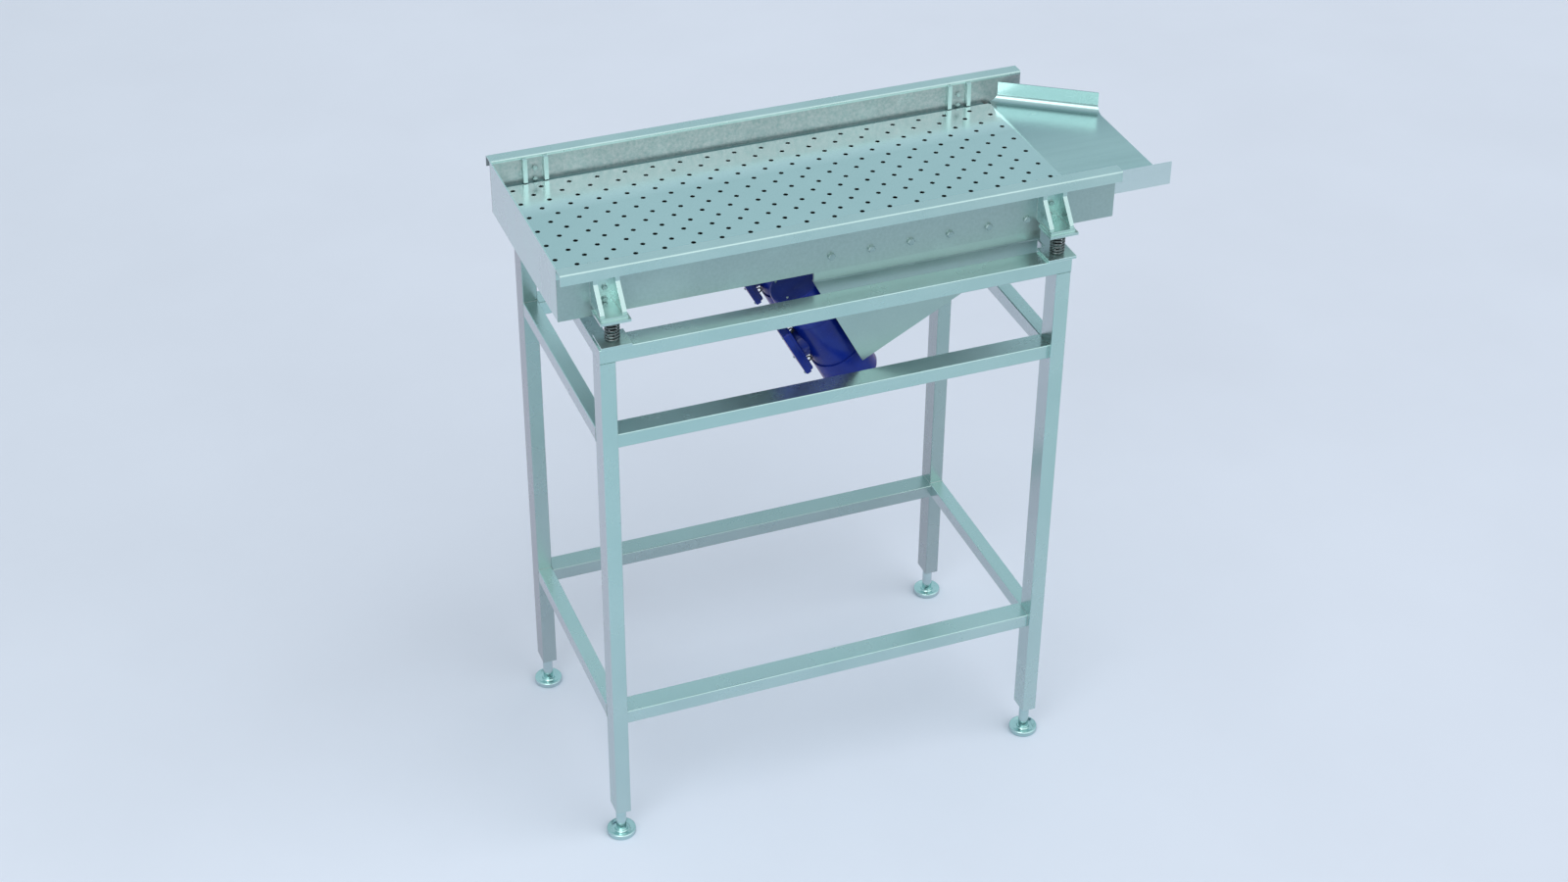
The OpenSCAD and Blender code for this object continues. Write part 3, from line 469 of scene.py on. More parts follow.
def makeFloor(values):
    mesh = bpy.data.meshes.new("studioFloor")
    reach = values["floorReach"]
    mesh.from_pydata([(-reach, -reach, 0), (reach, -reach, 0), (reach, reach, 0), (-reach, reach, 0)], [],
                     [(0, 1, 2, 3)])
    floor = placeObject("studioFloor", mesh)
    material, tree, shader = newMaterial("floorPaper")
    grain = placeGroup(tree, satinGrain, Cloud_Scale=values["floorCloud"], Grain_Scale=values["floorGrain"])
    place = splitVector(tree, objectPlace(tree))
    # painted light: the floor turns paler towards +x
    rightwards = ramp(tree, place["X"], *values["floorSpan"])
    paper = mixColour(tree, rightwards, rgba(values["floor"]), rgba(values["floorLitRight"]))
    shade = times(tree, grain["Clouds"], values["floorShade"])
    paper = mixColour(tree, shade, paper, (0, 0, 0, 1))
    behind = ramp(tree, place["Y"], *values["mirrorSpan"])
    mirrored = mixColour(tree, behind, rgba(values["mirrorFront"]), rgba(values["mirrorBack"]))
    mirrored = mixColour(tree, ramp(tree, place["X"], *values["mirrorFade"]), mirrored, (1, 1, 1, 1))
    glossy = addNode(tree, "ShaderNodeLightPath").outputs["Is Glossy Ray"]
    feed(tree, shader, Base_Color=mixColour(tree, glossy, paper, mirrored), Roughness=values["floorRough"],
         Specular_IOR_Level=values["floorShine"])
    mesh.materials.append(material)


def aimLamp(name, kind, aim, fromWhere, away):
    data = bpy.data.lights.new(name, kind)
    lamp = placeObject(name, data)
    aim = Vector(aim)
    lamp.location = aim + Vector(fromWhere).normalized() * away
    lamp.rotation_euler = (aim - lamp.location).to_track_quat("-Z", "Y").to_euler()
    return data


def makeLamps(values):
    sun = aimLamp("softSun", "SUN", values["aim"], values["sunFrom"], values["sunAway"])
    sun.energy = values["sunPower"]
    sun.angle = math.radians(values["sunSpread"])
    bpy.data.objects["softSun"].visible_glossy = False
    box = aimLamp("softBox", "AREA", values["aim"], values["boxFrom"], values["boxAway"])
    box.shape = "RECTANGLE"
    box.size, box.size_y = values["boxSize"]
    box.energy = values["boxPower"]


makeSky(studioSet)
makeFloor(studioSet)
makeLamps(studioSet)
print("floor and light ready")


# what each node belongs to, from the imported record
bodyOf = {name: body for body, names in frame["record"]["behaviour"]["bodies"].items() for name in names}


def smoothMesh(mesh, angle=32):
    for face in mesh.polygons:
        face.use_smooth = True
    mesh.set_sharp_from_angle(angle=math.radians(angle))


def evenNormals(mesh, angle=32):
    # each corner leans towards the largest flat that meets it, so a fold doesn't shade the sheet beside it
    faces = mesh.polygons
    planes = [(*[round(part, 3) for part in face.normal], round(face.normal.dot(face.center), 4))
              for face in faces]
    areas = {}
    meeting = [[] for _ in mesh.vertices]
    for face, plane in zip(faces, planes):
        areas[plane] = areas.get(plane, 0.0) + face.area
        for vertex in face.vertices:
            meeting[vertex].append(face.index)
    nearest = math.cos(math.radians(angle))
    leaning = []
    for face in faces:
        for vertex in face.vertices:
            total = Vector()
            for other in meeting[vertex]:
                if face.normal.dot(faces[other].normal) > nearest:
                    total += faces[other].normal * areas[planes[other]]
            leaning.append(total.normalized())
    mesh.normals_split_custom_set(leaning)


def addPiece(name, mesh, body, replaced=(), slot=None):
    piece = placeObject(name, mesh)
    if body:
        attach(piece, body)
    if replaced:
        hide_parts(*replaced)
    return piece


def finishMesh(work, name, finish, angle=32):
    # what was drawn becomes a mesh with one finish
    mesh = bpy.data.meshes.new(name)
    work.to_mesh(mesh)
    work.free()
    mesh.materials.append(materials[finish])
    smoothMesh(mesh, angle)
    return mesh


def nodeDrawing(name):
    # a node's solids in the part's own place, with their doubled points merged
    work = bmesh.new()
    work.from_mesh(nodes[name].data)
    bmesh.ops.transform(work, matrix=nodes[name].matrix_world, verts=work.verts)
    bmesh.ops.remove_doubles(work, verts=work.verts, dist=0.00001)
    return work


def plainMesh(source, name):
    # the evaluated shape of an object as a mesh of its own, and the object taken away
    bpy.context.view_layer.update()
    graph = bpy.context.evaluated_depsgraph_get()
    mesh = bpy.data.meshes.new_from_object(source.evaluated_get(graph), depsgraph=graph)
    mesh.name = name
    bpy.data.objects.remove(source)
    return mesh


# the frame's own solids, with small rounded edges: the finish and the edge's width in millimetres
edgeWidths = {
    "spring_seat": ("standSatin", 1.4), "leg_front": ("standSatin", 0.5), "leg_back": ("standPaintedShade", 0.5),
    "lower_rail_back": ("standPaintedShade", 0.5), "top_rail": ("standSatin", 0.5), "middle_rail": ("standSatin", 0.5),
    "lower_rail": ("standSatin", 0.5), "bracket_front": ("traySatin", 0.9), "bracket_back": ("traySatin", 0.9),
    "trough_side_front": ("frontSatin", 0.2), "trough_side_back": ("wallSatin", 0.2),
    "trough_end_wall": ("endWallLit", 0.3), "perforated_deck": ("deckSatin", 0.0),
    "discharge_chute": ("chuteSheet", 0.3), "motor_cheek": ("sheetSatin", 0.4), "motor_plate": ("sheetSatin", 1.0),
    "motor_housing": ("motorPaint", 1.5), "end_covers": ("motorPaint", 1.2), "bearing_flanges": ("motorPaint", 0.8),
    "terminal_lids": ("motorPaint", 1.2), "cable_glands": ("blackParts", 0.5),
    "lifting_eyes": ("blackParts", 0.0),
}
# the finishes whose rounded edges take the lighter edge finish, a painted highlight
brightEdges = ("standSatin", "wallSatin", "frontSatin", "endWallLit", "chuteSheet")
plateStarts = ("spring_seat", "bracket_")
edgeSet = {"flatBelow": 0.5, "sharpFrom": 40, "steps": 2}  # angles in degrees


def dressNode(name, finish, width):
    work = nodeDrawing(name)
    if width:
        bmesh.ops.dissolve_limit(work, angle_limit=math.radians(edgeSet["flatBelow"]), verts=work.verts,
                                 edges=work.edges)
    mesh = bpy.data.meshes.new(name + "Dressed")
    work.to_mesh(mesh)
    work.free()
    mesh.materials.append(materials[finish])
    if width:
        # painted highlight: the bevel faces take a lighter finish
        bright = "plateEdgeHighlight" if name.startswith(plateStarts) else "edgeHighlight" if finish in brightEdges else finish
        mesh.materials.append(materials[bright])
        shaped = placeObject(name + "Shaped", mesh)
        edge = shaped.modifiers.new("edge", "BEVEL")
        edge.width = width / 1000
        edge.segments = edgeSet["steps"]
        edge.limit_method = "ANGLE"
        edge.angle_limit = math.radians(edgeSet["sharpFrom"])
        edge.material = 1
        mesh = plainMesh(shaped, name + "Dressed")
    smoothMesh(mesh)
    evenNormals(mesh)
    addPiece("dressed_" + name, mesh, bodyOf[name], (name,))


def nodesIn(table):
    # each node with the first entry whose key starts its name
    for name in nodes:
        for start, entry in table.items():
            if name.startswith(start):
                yield name, entry
                break


for nodeName, (finish, width) in nodesIn(edgeWidths):
    dressNode(nodeName, finish, width)
print("solids dressed")


# what stays as it is: hidden or plain solids
plainFinish = {"fines_pan": "panSheet", "deck_ledges": "ledgePaintedShade", "motor_bearings": "boltSteel",
               "leg_inserts": "plainSteel", "stator_cores": "plainSteel", "rotor_shaft": "plainSteel",
               "eccentric_weights": "plainSteel"}


for nodeName, finish in nodesIn(plainFinish):
    plain = nodes[nodeName].data.materials
    plain.clear()
    plain.append(materials[finish])
print("plain solids finished")


# heights above the floor and radii from the foot's axis; the rim's points are (in from the edge, height), and the
# shoulder's points and the boss's rises count from the dish
levelFoot = {"stem": 0.014, "stemRound": 0.002, "dish": 0.0105, "boss": 0.0165, "edge": 0.004, "sides": 56,
             "rim": [(0.0, 0.0120), (0.0007, 0.0147), (0.0022, 0.0161), (0.0042, 0.0164), (0.0062, 0.0156)],
             "shoulder": [(0.0105, 0.002), (0.0155, 0.0005)], "fillet": 0.002, "bossEdge": 0.0008,
             "bossRise": (0.0018, 0.0055, 0.0066), "lean": 0.3}


def makeFeet(values):
    # turned disc with a raised rim, a shallow dish and a smooth stem
    for corner in corners:
        name = "foot_%s_%s" % corner
        low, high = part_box(name)
        middle = (low + high) / 2
        out = (high[0] - low[0]) / 2
        edge, dish, boss, stem = (values[key] for key in ("edge", "dish", "boss", "stem"))
        rises = [dish + rise for rise in values["bossRise"]]
        lean = edge * values["lean"]
        outline = [(0, 0), (out - edge, 0), (out - lean, lean), (out, edge),
                   *[(out - back, z) for back, z in values["rim"]],
                   *[(out - back, dish + rise) for back, rise in values["shoulder"]], (boss + values["fillet"], dish),
                   (boss, rises[0]), (boss - values["bossEdge"], rises[1]), (stem, rises[2]),
                   (stem, high[2] - values["stemRound"]), (stem - values["stemRound"], high[2]), (0, high[2])]
        work = bmesh.new()
        verts = [work.verts.new((middle[0] + r, middle[1], z)) for r, z in outline]
        edges = [work.edges.new(pair) for pair in zip(verts, verts[1:])]
        bmesh.ops.spin(work, geom=verts + edges, cent=(middle[0], middle[1], 0), axis=(0, 0, 1),
                       angle=2 * math.pi, steps=values["sides"], use_merge=True)
        bmesh.ops.remove_doubles(work, verts=work.verts, dist=0.00002)
        bmesh.ops.recalc_face_normals(work, faces=work.faces)
        mesh = finishMesh(work, name + "Turned", "footPolish", 40)
        addPiece("turned_" + name, mesh, bodyOf[name], (name,))


makeFeet(levelFoot)
print("feet turned")


# shape trees: each grows on seed points or seed lines

def startTree(name, inputs):
    sockets = {"Geometry": "NodeSocketGeometry", **inputs, "Finish": "NodeSocketMaterial"}
    return newGroup("GeometryNodeTree", name, sockets, ["Geometry"], "NodeSocketGeometry")


def endTree(tree, given, result, shape):
    real = made(tree, "GeometryNodeRealizeInstances", Geometry=shape)
    feed(tree, result, Geometry=made(tree, "GeometryNodeSetMaterial", Geometry=real, Material=given["Finish"]))
    return tree


def joinShapes(tree, shapes):
    node = addNode(tree, "GeometryNodeJoinGeometry")
    for shape in shapes:
        tree.links.new(shape, node.inputs[0])
    return node.outputs[0]


def shift(tree, shape, z, turn=(0.0, 0.0, 0.0)):
    return made(tree, "GeometryNodeTransform", Geometry=shape, Translation=joinVector(tree, z=z),
                Rotation=turn)


def placeOnSeeds(tree, seeds, shape):
    # the shape's own z turns to the direction kept with each seed point
    aim = feed(tree, addNode(tree, "GeometryNodeInputNamedAttribute", data_type="FLOAT_VECTOR"), Name="aim")
    turn = addNode(tree, "FunctionNodeAlignRotationToVector", axis="Z")
    feed(tree, turn, Vector=aim.outputs["Attribute"])
    return made(tree, "GeometryNodeInstanceOnPoints", Points=seeds, Instance=shape,
                Rotation=turn.outputs[0])


def growPiece(name, tree, points, values, finish, edges=(), aims=None):
    # the tree takes the values that carry the name of one of its inputs
    values = {**values, "Finish": materials[finish]}
    mesh = bpy.data.meshes.new(name + "Seeds")
    mesh.from_pydata(points, edges, [])
    if aims:
        kept = mesh.attributes.new("aim", "FLOAT_VECTOR", "POINT")
        for entry, aim in zip(kept.data, aims):
            entry.vector = aim
    seeds = placeObject(name + "Seeds", mesh)
    grown = seeds.modifiers.new("grown", "NODES")
    grown.node_group = tree
    for item in tree.interface.items_tree:
        if item.item_type == "SOCKET" and item.in_out == "INPUT" and item.name in values:
            grown[item.identifier] = values[item.name]
    return plainMesh(seeds, name)


coilSpring = {"Working Coils": 5.5, "Height": 0.0597, "Dead Rise": 0.0053, "Start": 0.00125, "wire": 0.005,
              "outside": 0.038, "stepsPerTurn": 26}
deadCoils = 2


def buildSpringTree():
    tree, given, result = startTree("coilSpringShape", {
        "Working Coils": 5.5, "Wire Radius": 0.0025, "Coil Radius": 0.0165, "Height": 0.06,
        "Dead Rise": 0.0053, "Start": 0.00125, "Steps": 200})
    line = made(tree, "GeometryNodeCurvePrimitiveLine")
    spaced = made(tree, "GeometryNodeResampleCurve", Curve=line, Count=given["Steps"])
    along = addNode(tree, "GeometryNodeSplineParameter").outputs["Factor"]
    turns = plus(tree, given["Working Coils"], float(deadCoils))
    turn = times(tree, along, turns)
    angle = times(tree, turn, 2 * math.pi)
    # closed end coils rise little, the working coils share what is left
    closed = plus(tree, times(tree, given["Start"], 2.0), times(tree, given["Dead Rise"], 2.0))
    free = minus(tree, given["Height"], closed)
    first = mathNode(tree, "MINIMUM", turn, 1.0)
    middle = mathNode(tree, "DIVIDE", minus(tree, turn, 1.0), given["Working Coils"], clamp=True)
    last = mathNode(tree, "MAXIMUM", minus(tree, minus(tree, turn, 1.0), given["Working Coils"]), 0.0)
    rise = mathNode(tree, "MULTIPLY_ADD", plus(tree, first, last), given["Dead Rise"],
                    mathNode(tree, "MULTIPLY_ADD", middle, free, given["Start"]))
    place = joinVector(tree, times(tree, mathNode(tree, "COSINE", angle), given["Coil Radius"]),
                       times(tree, mathNode(tree, "SINE", angle), given["Coil Radius"]), rise)
    helix = made(tree, "GeometryNodeSetPosition", Geometry=spaced, Position=place)
    wire = made(tree, "GeometryNodeCurvePrimitiveCircle", Resolution=12, Radius=given["Wire Radius"])
    tube = made(tree, "GeometryNodeCurveToMesh", Curve=helix, Profile_Curve=wire, Fill_Caps=True)
    # the end coils are ground flat
    here = splitVector(tree, addNode(tree, "GeometryNodeInputPosition").outputs[0])
    level = mathNode(tree, "MINIMUM", mathNode(tree, "MAXIMUM", here["Z"], 0.0), given["Height"])
    ground = made(tree, "GeometryNodeSetPosition", Geometry=tube,
                  Position=joinVector(tree, here["X"], here["Y"], level))
    return endTree(tree, given, result, placeOnSeeds(tree, given["Geometry"], ground))


def makeSprings(values):
    tree = buildSpringTree()
    wire, outside = values["wire"], values["outside"]
    sizes = {**values, "Wire Radius": wire / 2, "Coil Radius": (outside - wire) / 2,
             "Steps": int((values["Working Coils"] + deadCoils) * values["stepsPerTurn"])}
    for corner in corners:
        name = "spring_%s_%s" % corner
        low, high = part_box(name)
        seed = ((low[0] + high[0]) / 2, (low[1] + high[1]) / 2, low[2])
        mesh = growPiece(name + "Coil", tree, [seed], sizes, "springBlack", aims=[(0, 0, 1)])
        smoothMesh(mesh, 50)
        piece = addPiece("coil_" + name, mesh, None, (name,))
        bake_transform(piece)


springCore = {"radius": 0.0088, "length": 0.036, "round": 0.002, "sides": 32, "sunk": 0.013}


def roundedRod(work, place, radius, length, sides, rounding, steps):
    rod = bmesh.ops.create_cone(work, cap_ends=True, segments=sides, radius1=radius, radius2=radius,
                                depth=length, matrix=place)["verts"]
    rims = [edge for edge in {edge for vert in rod for edge in vert.link_edges}
            if max(len(face.verts) for face in edge.link_faces) > 4]
    bmesh.ops.bevel(work, geom=rims, offset=rounding, segments=steps, affect="EDGES", profile=0.5)


def makeCores(values):
    # rubber stop under each shoe, inside its spring
    work = bmesh.new()
    for corner in corners:
        low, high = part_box("spring_%s_%s" % corner)
        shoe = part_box("bracket_%s_%s" % corner)[0][2]
        middle = (low + high) / 2
        place = Matrix.Translation((middle[0], middle[1], shoe + values["sunk"] - values["length"] / 2))
        roundedRod(work, place, values["radius"], values["length"], values["sides"], values["round"], 3)
    bmesh.ops.recalc_face_normals(work, faces=work.faces)
    addPiece("spring_stops", finishMesh(work, "springStops", "blackParts"), "tray", slot="black_parts")


makeSprings(coilSpring)
makeCores(springCore)
print("coil springs wound")


hexShape = {"prism": 0.8, "narrow": 0.88, "washerSides": 28, "shankSides": 16}  # shares of head and radius


def buildBoltTree():
    tree, given, result = startTree("hexBoltShape", {
        "Flats": 0.013, "Head": 0.0053, "With Washer": False, "Washer Radius": 0.01,
        "Washer Thickness": 0.002, "Shank": 0.008, "Reach": 0.02, "With Nut": True,
        "Nut Start": 0.01, "Nut": 0.006})
    radius = mathNode(tree, "DIVIDE", given["Flats"], math.sqrt(3))
    narrow = times(tree, radius, hexShape["narrow"])

    def hexagon(height, start, outward):
        # a prism with its outer end chamfered, from start along the given direction of z
        body = times(tree, height, hexShape["prism"])
        prism = made(tree, "GeometryNodeMeshCylinder", Vertices=6, Radius=radius, Depth=body)
        cap = made(tree, "GeometryNodeMeshCone", Vertices=6, Radius_Top=narrow, Radius_Bottom=radius,
                   Depth=times(tree, height, 1 - hexShape["prism"]))
        middle = mathNode(tree, "MULTIPLY_ADD", body, 0.5 * outward, start)
        end = mathNode(tree, "MULTIPLY_ADD", body, outward, start)
        turn = (0.0, 0.0, 0.0) if outward > 0 else (math.pi, 0.0, 0.0)
        return [shift(tree, prism, middle), shift(tree, cap, end, turn)]

    def switched(wanted, shape):
        node = addNode(tree, "GeometryNodeSwitch", input_type="GEOMETRY")
        return feed(tree, node, Switch=wanted, **{"True": shape}).outputs[0]

    thick = times(tree, given["Washer Thickness"], given["With Washer"])
    head = hexagon(given["Head"], times(tree, thick, -1.0), -1)
    washer = made(tree, "GeometryNodeMeshCylinder", Vertices=hexShape["washerSides"],
                  Radius=given["Washer Radius"], Depth=given["Washer Thickness"])
    washer = shift(tree, washer, times(tree, thick, -0.5))
    shank = made(tree, "GeometryNodeMeshCylinder", Vertices=hexShape["shankSides"],
                 Radius=times(tree, given["Shank"], 0.5), Depth=given["Reach"])
    shank = shift(tree, shank, times(tree, given["Reach"], 0.5))
    nut = joinShapes(tree, hexagon(given["Nut"], given["Nut Start"], 1))
    bolt = joinShapes(tree, head + [switched(given["With Washer"], washer), shank,
                                    switched(given["With Nut"], nut)])
    return endTree(tree, given, result, placeOnSeeds(tree, given["Geometry"], bolt))


def solidBoxes(name):
    # the low and high corner of each separate solid of a node
    work = nodeDrawing(name)
    left = set(work.verts)
    boxes = []
    while left:
        found = [left.pop()]
        for vert in found:
            for edge in vert.link_edges:
                other = edge.other_vert(vert)
                if other in left:
                    left.remove(other)
                    found.append(other)
        boxes.append([tuple(pick(vert.co[axis] for vert in found) for axis in range(3)) for pick in (min, max)])
    work.free()
    return sorted(boxes)


fasteners = {
    "bracket_bolts": {"Flats": 0.013, "Head": 0.0053, "Shank": 0.008, "Nut": 0.006, "With Nut": True},
    "cheek_bolts": {"Flats": 0.017, "Head": 0.0064, "Shank": 0.010, "Nut": 0.008, "With Nut": True,
                    "With Washer": True, "Washer Radius": 0.010, "Washer Thickness": 0.002},
}


def makeWallBolts(values):
    # bolts through the trough's walls: the heads are outside, the nuts inside
    tree = buildBoltTree()
    for name, sizes in values.items():
        boxes = solidBoxes(name)
        slack = 0.0005
        nuts = [box for box in boxes if box[1][1] - box[0][1] < sizes["Nut"] + slack]
        bolts = [box for box in boxes if box not in nuts]
        groups = {}
        for low, high in bolts:
            side = 1 if low[1] + high[1] < 0 else -1
            x, z = (low[0] + high[0]) / 2, (low[2] + high[2]) / 2
            head = low[1] if side > 0 else high[1]
            thick = sizes["Head"] + (sizes["Washer Thickness"] if sizes.get("With Washer") else 0.0)
            seat = head + side * thick
            nut = min(nuts, key=lambda box: abs((box[0][0] + box[1][0]) / 2 - x)
                      + abs((box[0][2] + box[1][2]) / 2 - z) + abs(box[0][1] - seat))
            start = abs((nut[0][1] if side > 0 else nut[1][1]) - seat)
            reach = high[1] - low[1] - thick
            groups.setdefault((round(start, 5), round(reach, 5)), []).append(((x, seat, z), (0, side, 0)))
        meshes = [growPiece(name + "Hex", tree, [seed[0] for seed in seeds],
                            {**sizes, "Nut Start": start, "Reach": reach}, "boltSteel",
                            aims=[seed[1] for seed in seeds]) for (start, reach), seeds in groups.items()]
        addPiece("hex_" + name, joinMeshes(meshes, name), bodyOf[name], (name,))
    return tree


def joinMeshes(meshes, name):
    work = bmesh.new()
    for mesh in meshes:
        work.from_mesh(mesh)
    joined = bpy.data.meshes.new(name + "Joined")
    work.to_mesh(joined)
    work.free()
    joined.materials.append(next(material for material in meshes[0].materials if material))
    joined.polygons.foreach_set("material_index", [0] * len(joined.polygons))
    smoothMesh(joined)
    return joined


boltTree = makeWallBolts(fasteners)
print("wall bolts set")


# the two motors sit square to the throw line: inward points from a motor to its plate, along is its shaft
drive = {"tilt": 28.0, "centre": (-0.0887, 0.179, 1.3767), "footPlane": 0.077, "footFlange": 0.015,
         "footBolts": (0.060, 0.045), "plate": 0.012, "lidOut": 0.098, "lidTop": 0.007,
         "lidScrews": (0.038, 0.065), "lidMiddle": 0.008, "coverRadius": 0.0725, "coverEnd": 0.172,
         "coverScrews": 4, "coverInset": 0.016, "boxSize": (0.017, 0.084, 0.138), "boxOut": 0.0885,
         "boxRound": 0.005, "neckRadius": 0.034, "neckSize": 0.040, "neckOut": 0.066, "neckRound": 0.008,
         "neckSides": 40}
motorBolt = {"Flats": 0.018, "Head": 0.0075, "Shank": 0.012, "Nut": 0.010, "With Nut": True,
             "Nut Start": drive["footFlange"] + drive["plate"],
             "Reach": drive["footFlange"] + drive["plate"] + 0.013}
motorWasher = {"Flats": 0.0205, "Head": 0.0012, "Shank": 0.012, "With Nut": False, "Reach": 0.004,
               "With Washer": True, "Washer Radius": 0.0125, "Washer Thickness": 0.0016}
motorScrew = {"Flats": 0.0065, "Head": 0.0018, "Shank": 0.004, "Reach": 0.003, "With Nut": False}
tilt = math.radians(drive["tilt"])
inward = Vector((math.cos(tilt), 0, math.sin(tilt)))
along = Vector((-math.sin(tilt), 0, math.cos(tilt)))
across = Vector((0, 1, 0))
motorCentres = [Vector(drive["centre"]) * Vector((1, side, 1)) for side in (-1, 1)]
fourWays = [(y, v) for y in (-1, 1) for v in (-1, 1)]


def makeTerminalBoxes(values):
    # the deep rounded box under each lid, on its round neck
    turn = Matrix((inward, across, along)).transposed().to_4x4()
    upright = turn @ Matrix.Rotation(math.radians(90), 4, "Y")
    work = bmesh.new()
    for centre in motorCentres:
        middle = centre + along * values["lidMiddle"]
        size = Matrix.Diagonal((*values["boxSize"], 1))
        place = Matrix.Translation(middle - inward * values["boxOut"]) @ turn @ size
        box = bmesh.ops.create_cube(work, size=1.0, matrix=place)["verts"]
        edges = list({edge for vert in box for edge in vert.link_edges})
        bmesh.ops.bevel(work, geom=edges, offset=values["boxRound"], segments=3, affect="EDGES", profile=0.5)
        place = Matrix.Translation(middle - inward * values["neckOut"]) @ upright
        roundedRod(work, place, values["neckRadius"], values["neckSize"], values["neckSides"],
                   values["neckRound"], 4)
    bmesh.ops.recalc_face_normals(work, faces=work.faces)
    addPiece("terminal_boxes", finishMesh(work, "terminalBoxes", "motorPaint"), "tray", slot="motor_paint")


def addFasteners(name, tree, seats, sizes, finish, **owner):
    mesh = growPiece(name, tree, [seat[0] for seat in seats], sizes, finish, aims=[seat[1] for seat in seats])
    smoothMesh(mesh)
    addPiece(name, mesh, "tray", **owner)


def makeMotorBolts(values, tree):
    reach, spread = values["footBolts"]
    seats = [(centre + inward * (values["footPlane"] - values["footFlange"]) + across * y * reach
              + along * v * spread, inward) for centre in motorCentres for y, v in fourWays]
    addFasteners("hex_motor_bolts", tree, seats, motorBolt, "boltSteel", replaced=("motor_bolts",))
    addFasteners("motor_washers", tree, seats, motorWasher, "blackParts", slot="black_parts")


def makeMotorScrews(values, tree):
    # four in each lid, and a ring of them in the end of each cover
    reach, spread = values["lidScrews"]
    seats = []
    for centre in motorCentres:
        seats += [(centre - inward * (values["lidOut"] + values["lidTop"]) + across * y * reach
                   + along * (values["lidMiddle"] + v * spread), inward) for y, v in fourWays]
        for end in (-1, 1):
            for step in range(values["coverScrews"]):
                angle = 2 * math.pi * (step + 0.5) / values["coverScrews"]
                spoke = inward * math.cos(angle) + across * math.sin(angle)
                seats.append((centre + along * end * values["coverEnd"]
                              + spoke * (values["coverRadius"] - values["coverInset"]), -along * end))
    addFasteners("motor_screws", tree, seats, motorScrew, "boltSteel", slot="bolt_steel")


makeTerminalBoxes(drive)
makeMotorBolts(drive, boltTree)
makeMotorScrews(drive, boltTree)
print("motor bolts and screws set")


punchedRims = {"first": (-0.7675, -0.2304), "shift": 0.044, "pitch": 0.074, "row": 0.0724, "nose": 0.014,
               "clear": 0.008, "Rim Radius": 0.0064, "Bead Radius": 0.00025, "Sides": 18}


def buildRimTree():
    tree, given, result = startTree("punchedRimShape", {"Rim Radius": 0.0065, "Bead Radius": 0.0004, "Sides": 18})
    ring = made(tree, "GeometryNodeCurvePrimitiveCircle", Resolution=given["Sides"], Radius=given["Rim Radius"])
    bead = made(tree, "GeometryNodeCurvePrimitiveCircle", Resolution=6, Radius=given["Bead Radius"])
    tube = made(tree, "GeometryNodeCurveToMesh", Curve=ring, Profile_Curve=bead)
    return endTree(tree, given, result, placeOnSeeds(tree, given["Geometry"], tube))


def makeRims(values):
    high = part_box("perforated_deck")[1]
    points = []
    for second in (0, 1):
        x0 = values["first"][0] + second * values["shift"]
        y0 = values["first"][1] + (1 - second) * values["row"] / 2
        columns = int((high[0] - values["nose"] - values["clear"] - x0) / values["pitch"]) + 1
        rows = int((high[1] - values["clear"] - y0) / values["row"]) + 1
        points += [(x0 + i * values["pitch"], y0 + j * values["row"], high[2])
                   for i in range(columns) for j in range(rows)]
    mesh = growPiece("punchedRims", buildRimTree(), points, values, "deckSatin", aims=[(0, 0, 1)] * len(points))
    smoothMesh(mesh, 60)
    addPiece("punched_rims", mesh, "tray", slot="tray_steel")
    return len(points)


print("rims round", makeRims(punchedRims), "perforations")


weldSeams = {"Bead Radius": 0.0011, "Step": 0.002, "Ripple": 0.0003, "Seed": 7.0}
seamPlaces = {"legFace": 0.310, "shoe": 1.644, "shoeOut": 0.357, "wallFace": 0.282, "gussets": (0.022, 0.033),
              "plateLift": 0.002, "plateTop": 1.739, "wallEnds": (0.004, 0.008),
              "chuteFront": -0.276, "chuteFloor": 1.6745, "chuteInset": 0.002}


def buildWeldTree():
    tree, given, result = startTree("weldBeadShape", {
        "Bead Radius": 0.0016, "Step": 0.002, "Ripple": 0.0004, "Seed": 7.0})
    curve = made(tree, "GeometryNodeMeshToCurve", Mesh=given["Geometry"])
    spaced = feed(tree, addNode(tree, "GeometryNodeResampleCurve", mode="LENGTH"), Curve=curve,
                  Length=given["Step"]).outputs[0]
    wave = addNode(tree, "ShaderNodeTexNoise", noise_dimensions="4D")
    feed(tree, wave, Vector=addNode(tree, "GeometryNodeInputPosition").outputs[0], W=given["Seed"], Scale=160.0,
         Detail=2.0)
    centred = vectorNode(tree, "SUBTRACT", wave.outputs["Color"], (0.5, 0.5, 0.5))
    sized = feed(tree, addNode(tree, "ShaderNodeVectorMath", operation="SCALE"), Vector=centred,
                 Scale=given["Ripple"]).outputs[0]
    moved = made(tree, "GeometryNodeSetPosition", Geometry=spaced, Offset=sized)
    profile = made(tree, "GeometryNodeCurvePrimitiveCircle", Resolution=6, Radius=given["Bead Radius"])
    thick = ramp(tree, wave.outputs["Fac"], 0.3, 0.7, 0.75, 1.2)
    tube = made(tree, "GeometryNodeCurveToMesh", Curve=moved, Profile_Curve=profile, Scale=thick, Fill_Caps=True)
    return endTree(tree, given, result, tube)


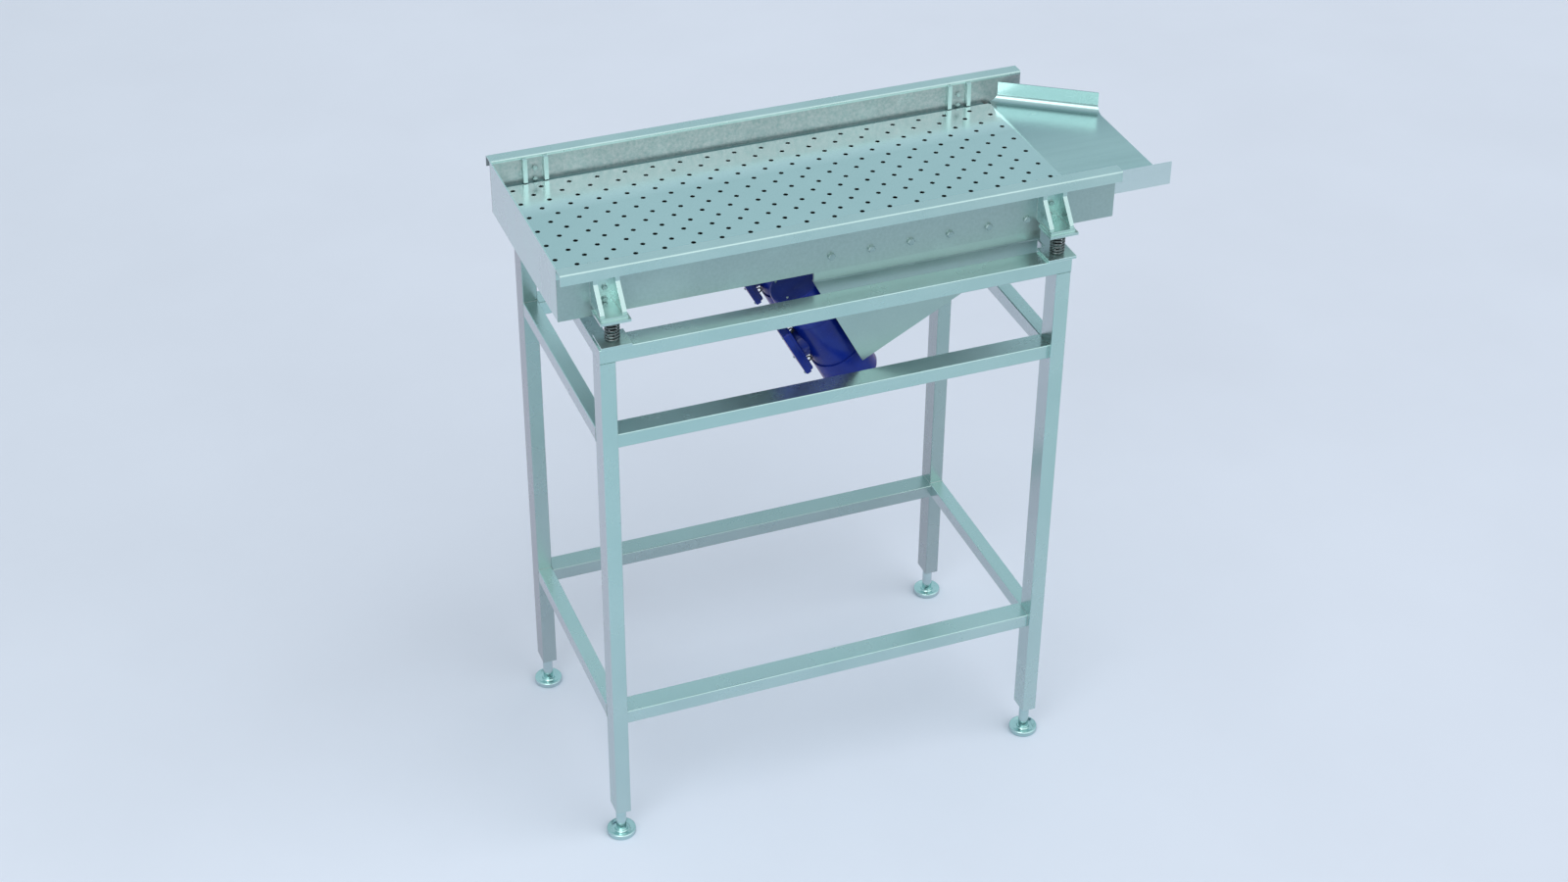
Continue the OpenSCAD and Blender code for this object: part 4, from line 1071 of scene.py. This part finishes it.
def standSeams(values):
    # round the end of each middle and lower rail, where it meets its leg or the long rail
    lines = []
    for name in nodes:
        if "_rail_" not in name or name.startswith("top"):
            continue
        low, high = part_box(name)
        if name.endswith(sides):
            front = name.endswith("front")
            face = -values["legFace"] if front else values["legFace"]
            outer = low[1] if front else high[1]
            for x in (low[0], high[0]):
                lines.append([(x, face, low[2]), (x, outer, low[2]), (x, outer, high[2]), (x, face, high[2])])
        else:
            for y in (low[1], high[1]):
                lines.append([(low[0], y, low[2]), (low[0], y, high[2]), (high[0], y, high[2]),
                              (high[0], y, low[2]), (low[0], y, low[2])])
    return lines


def traySeams(values):
    # up the end wall's corners, along the gussets and back plates, and along the chute's front fold
    (_, near, bottom), (right, far, top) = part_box("trough_end_wall")
    lift, drop = values["wallEnds"]
    lines = [[(right, y, bottom + lift), (right, y, top - drop)] for y in (near, far)]
    inner, outer = values["gussets"]
    for side, end in corners:
        low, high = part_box("bracket_%s_%s" % (side, end))
        sign = -1 if side == "front" else 1
        middle = (low[0] + high[0]) / 2
        shoe, face, out = values["shoe"], sign * values["wallFace"], sign * values["shoeOut"]
        lines += [[(middle + x, out, shoe), (middle + x, face, shoe)] for x in (-outer, -inner, inner, outer)]
        lines += [[(middle + x, face, shoe + values["plateLift"]), (middle + x, face, values["plateTop"])]
                  for x in (-outer, outer)]
    low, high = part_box("discharge_chute")
    lines.append([(x, values["chuteFront"], values["chuteFloor"])
                  for x in (low[0] + values["chuteInset"], high[0] - values["chuteInset"])])
    return lines


def makeSeams(values, places):
    tree = buildWeldTree()
    for body, lines, slot in (("stand", standSeams(places), "stand_steel"),
                              ("tray", traySeams(places), "tray_steel")):
        points, edges = [], []
        for line in lines:
            edges += [(len(points) + k, len(points) + k + 1) for k in range(len(line) - 1)]
            points += line
        mesh = growPiece(body + "Welds", tree, points, values, "weldSteel", edges)
        smoothMesh(mesh, 80)
        addPiece(body + "_welds", mesh, body, slot=slot)


makeSeams(weldSeams, seamPlaces)
print("weld seams laid")
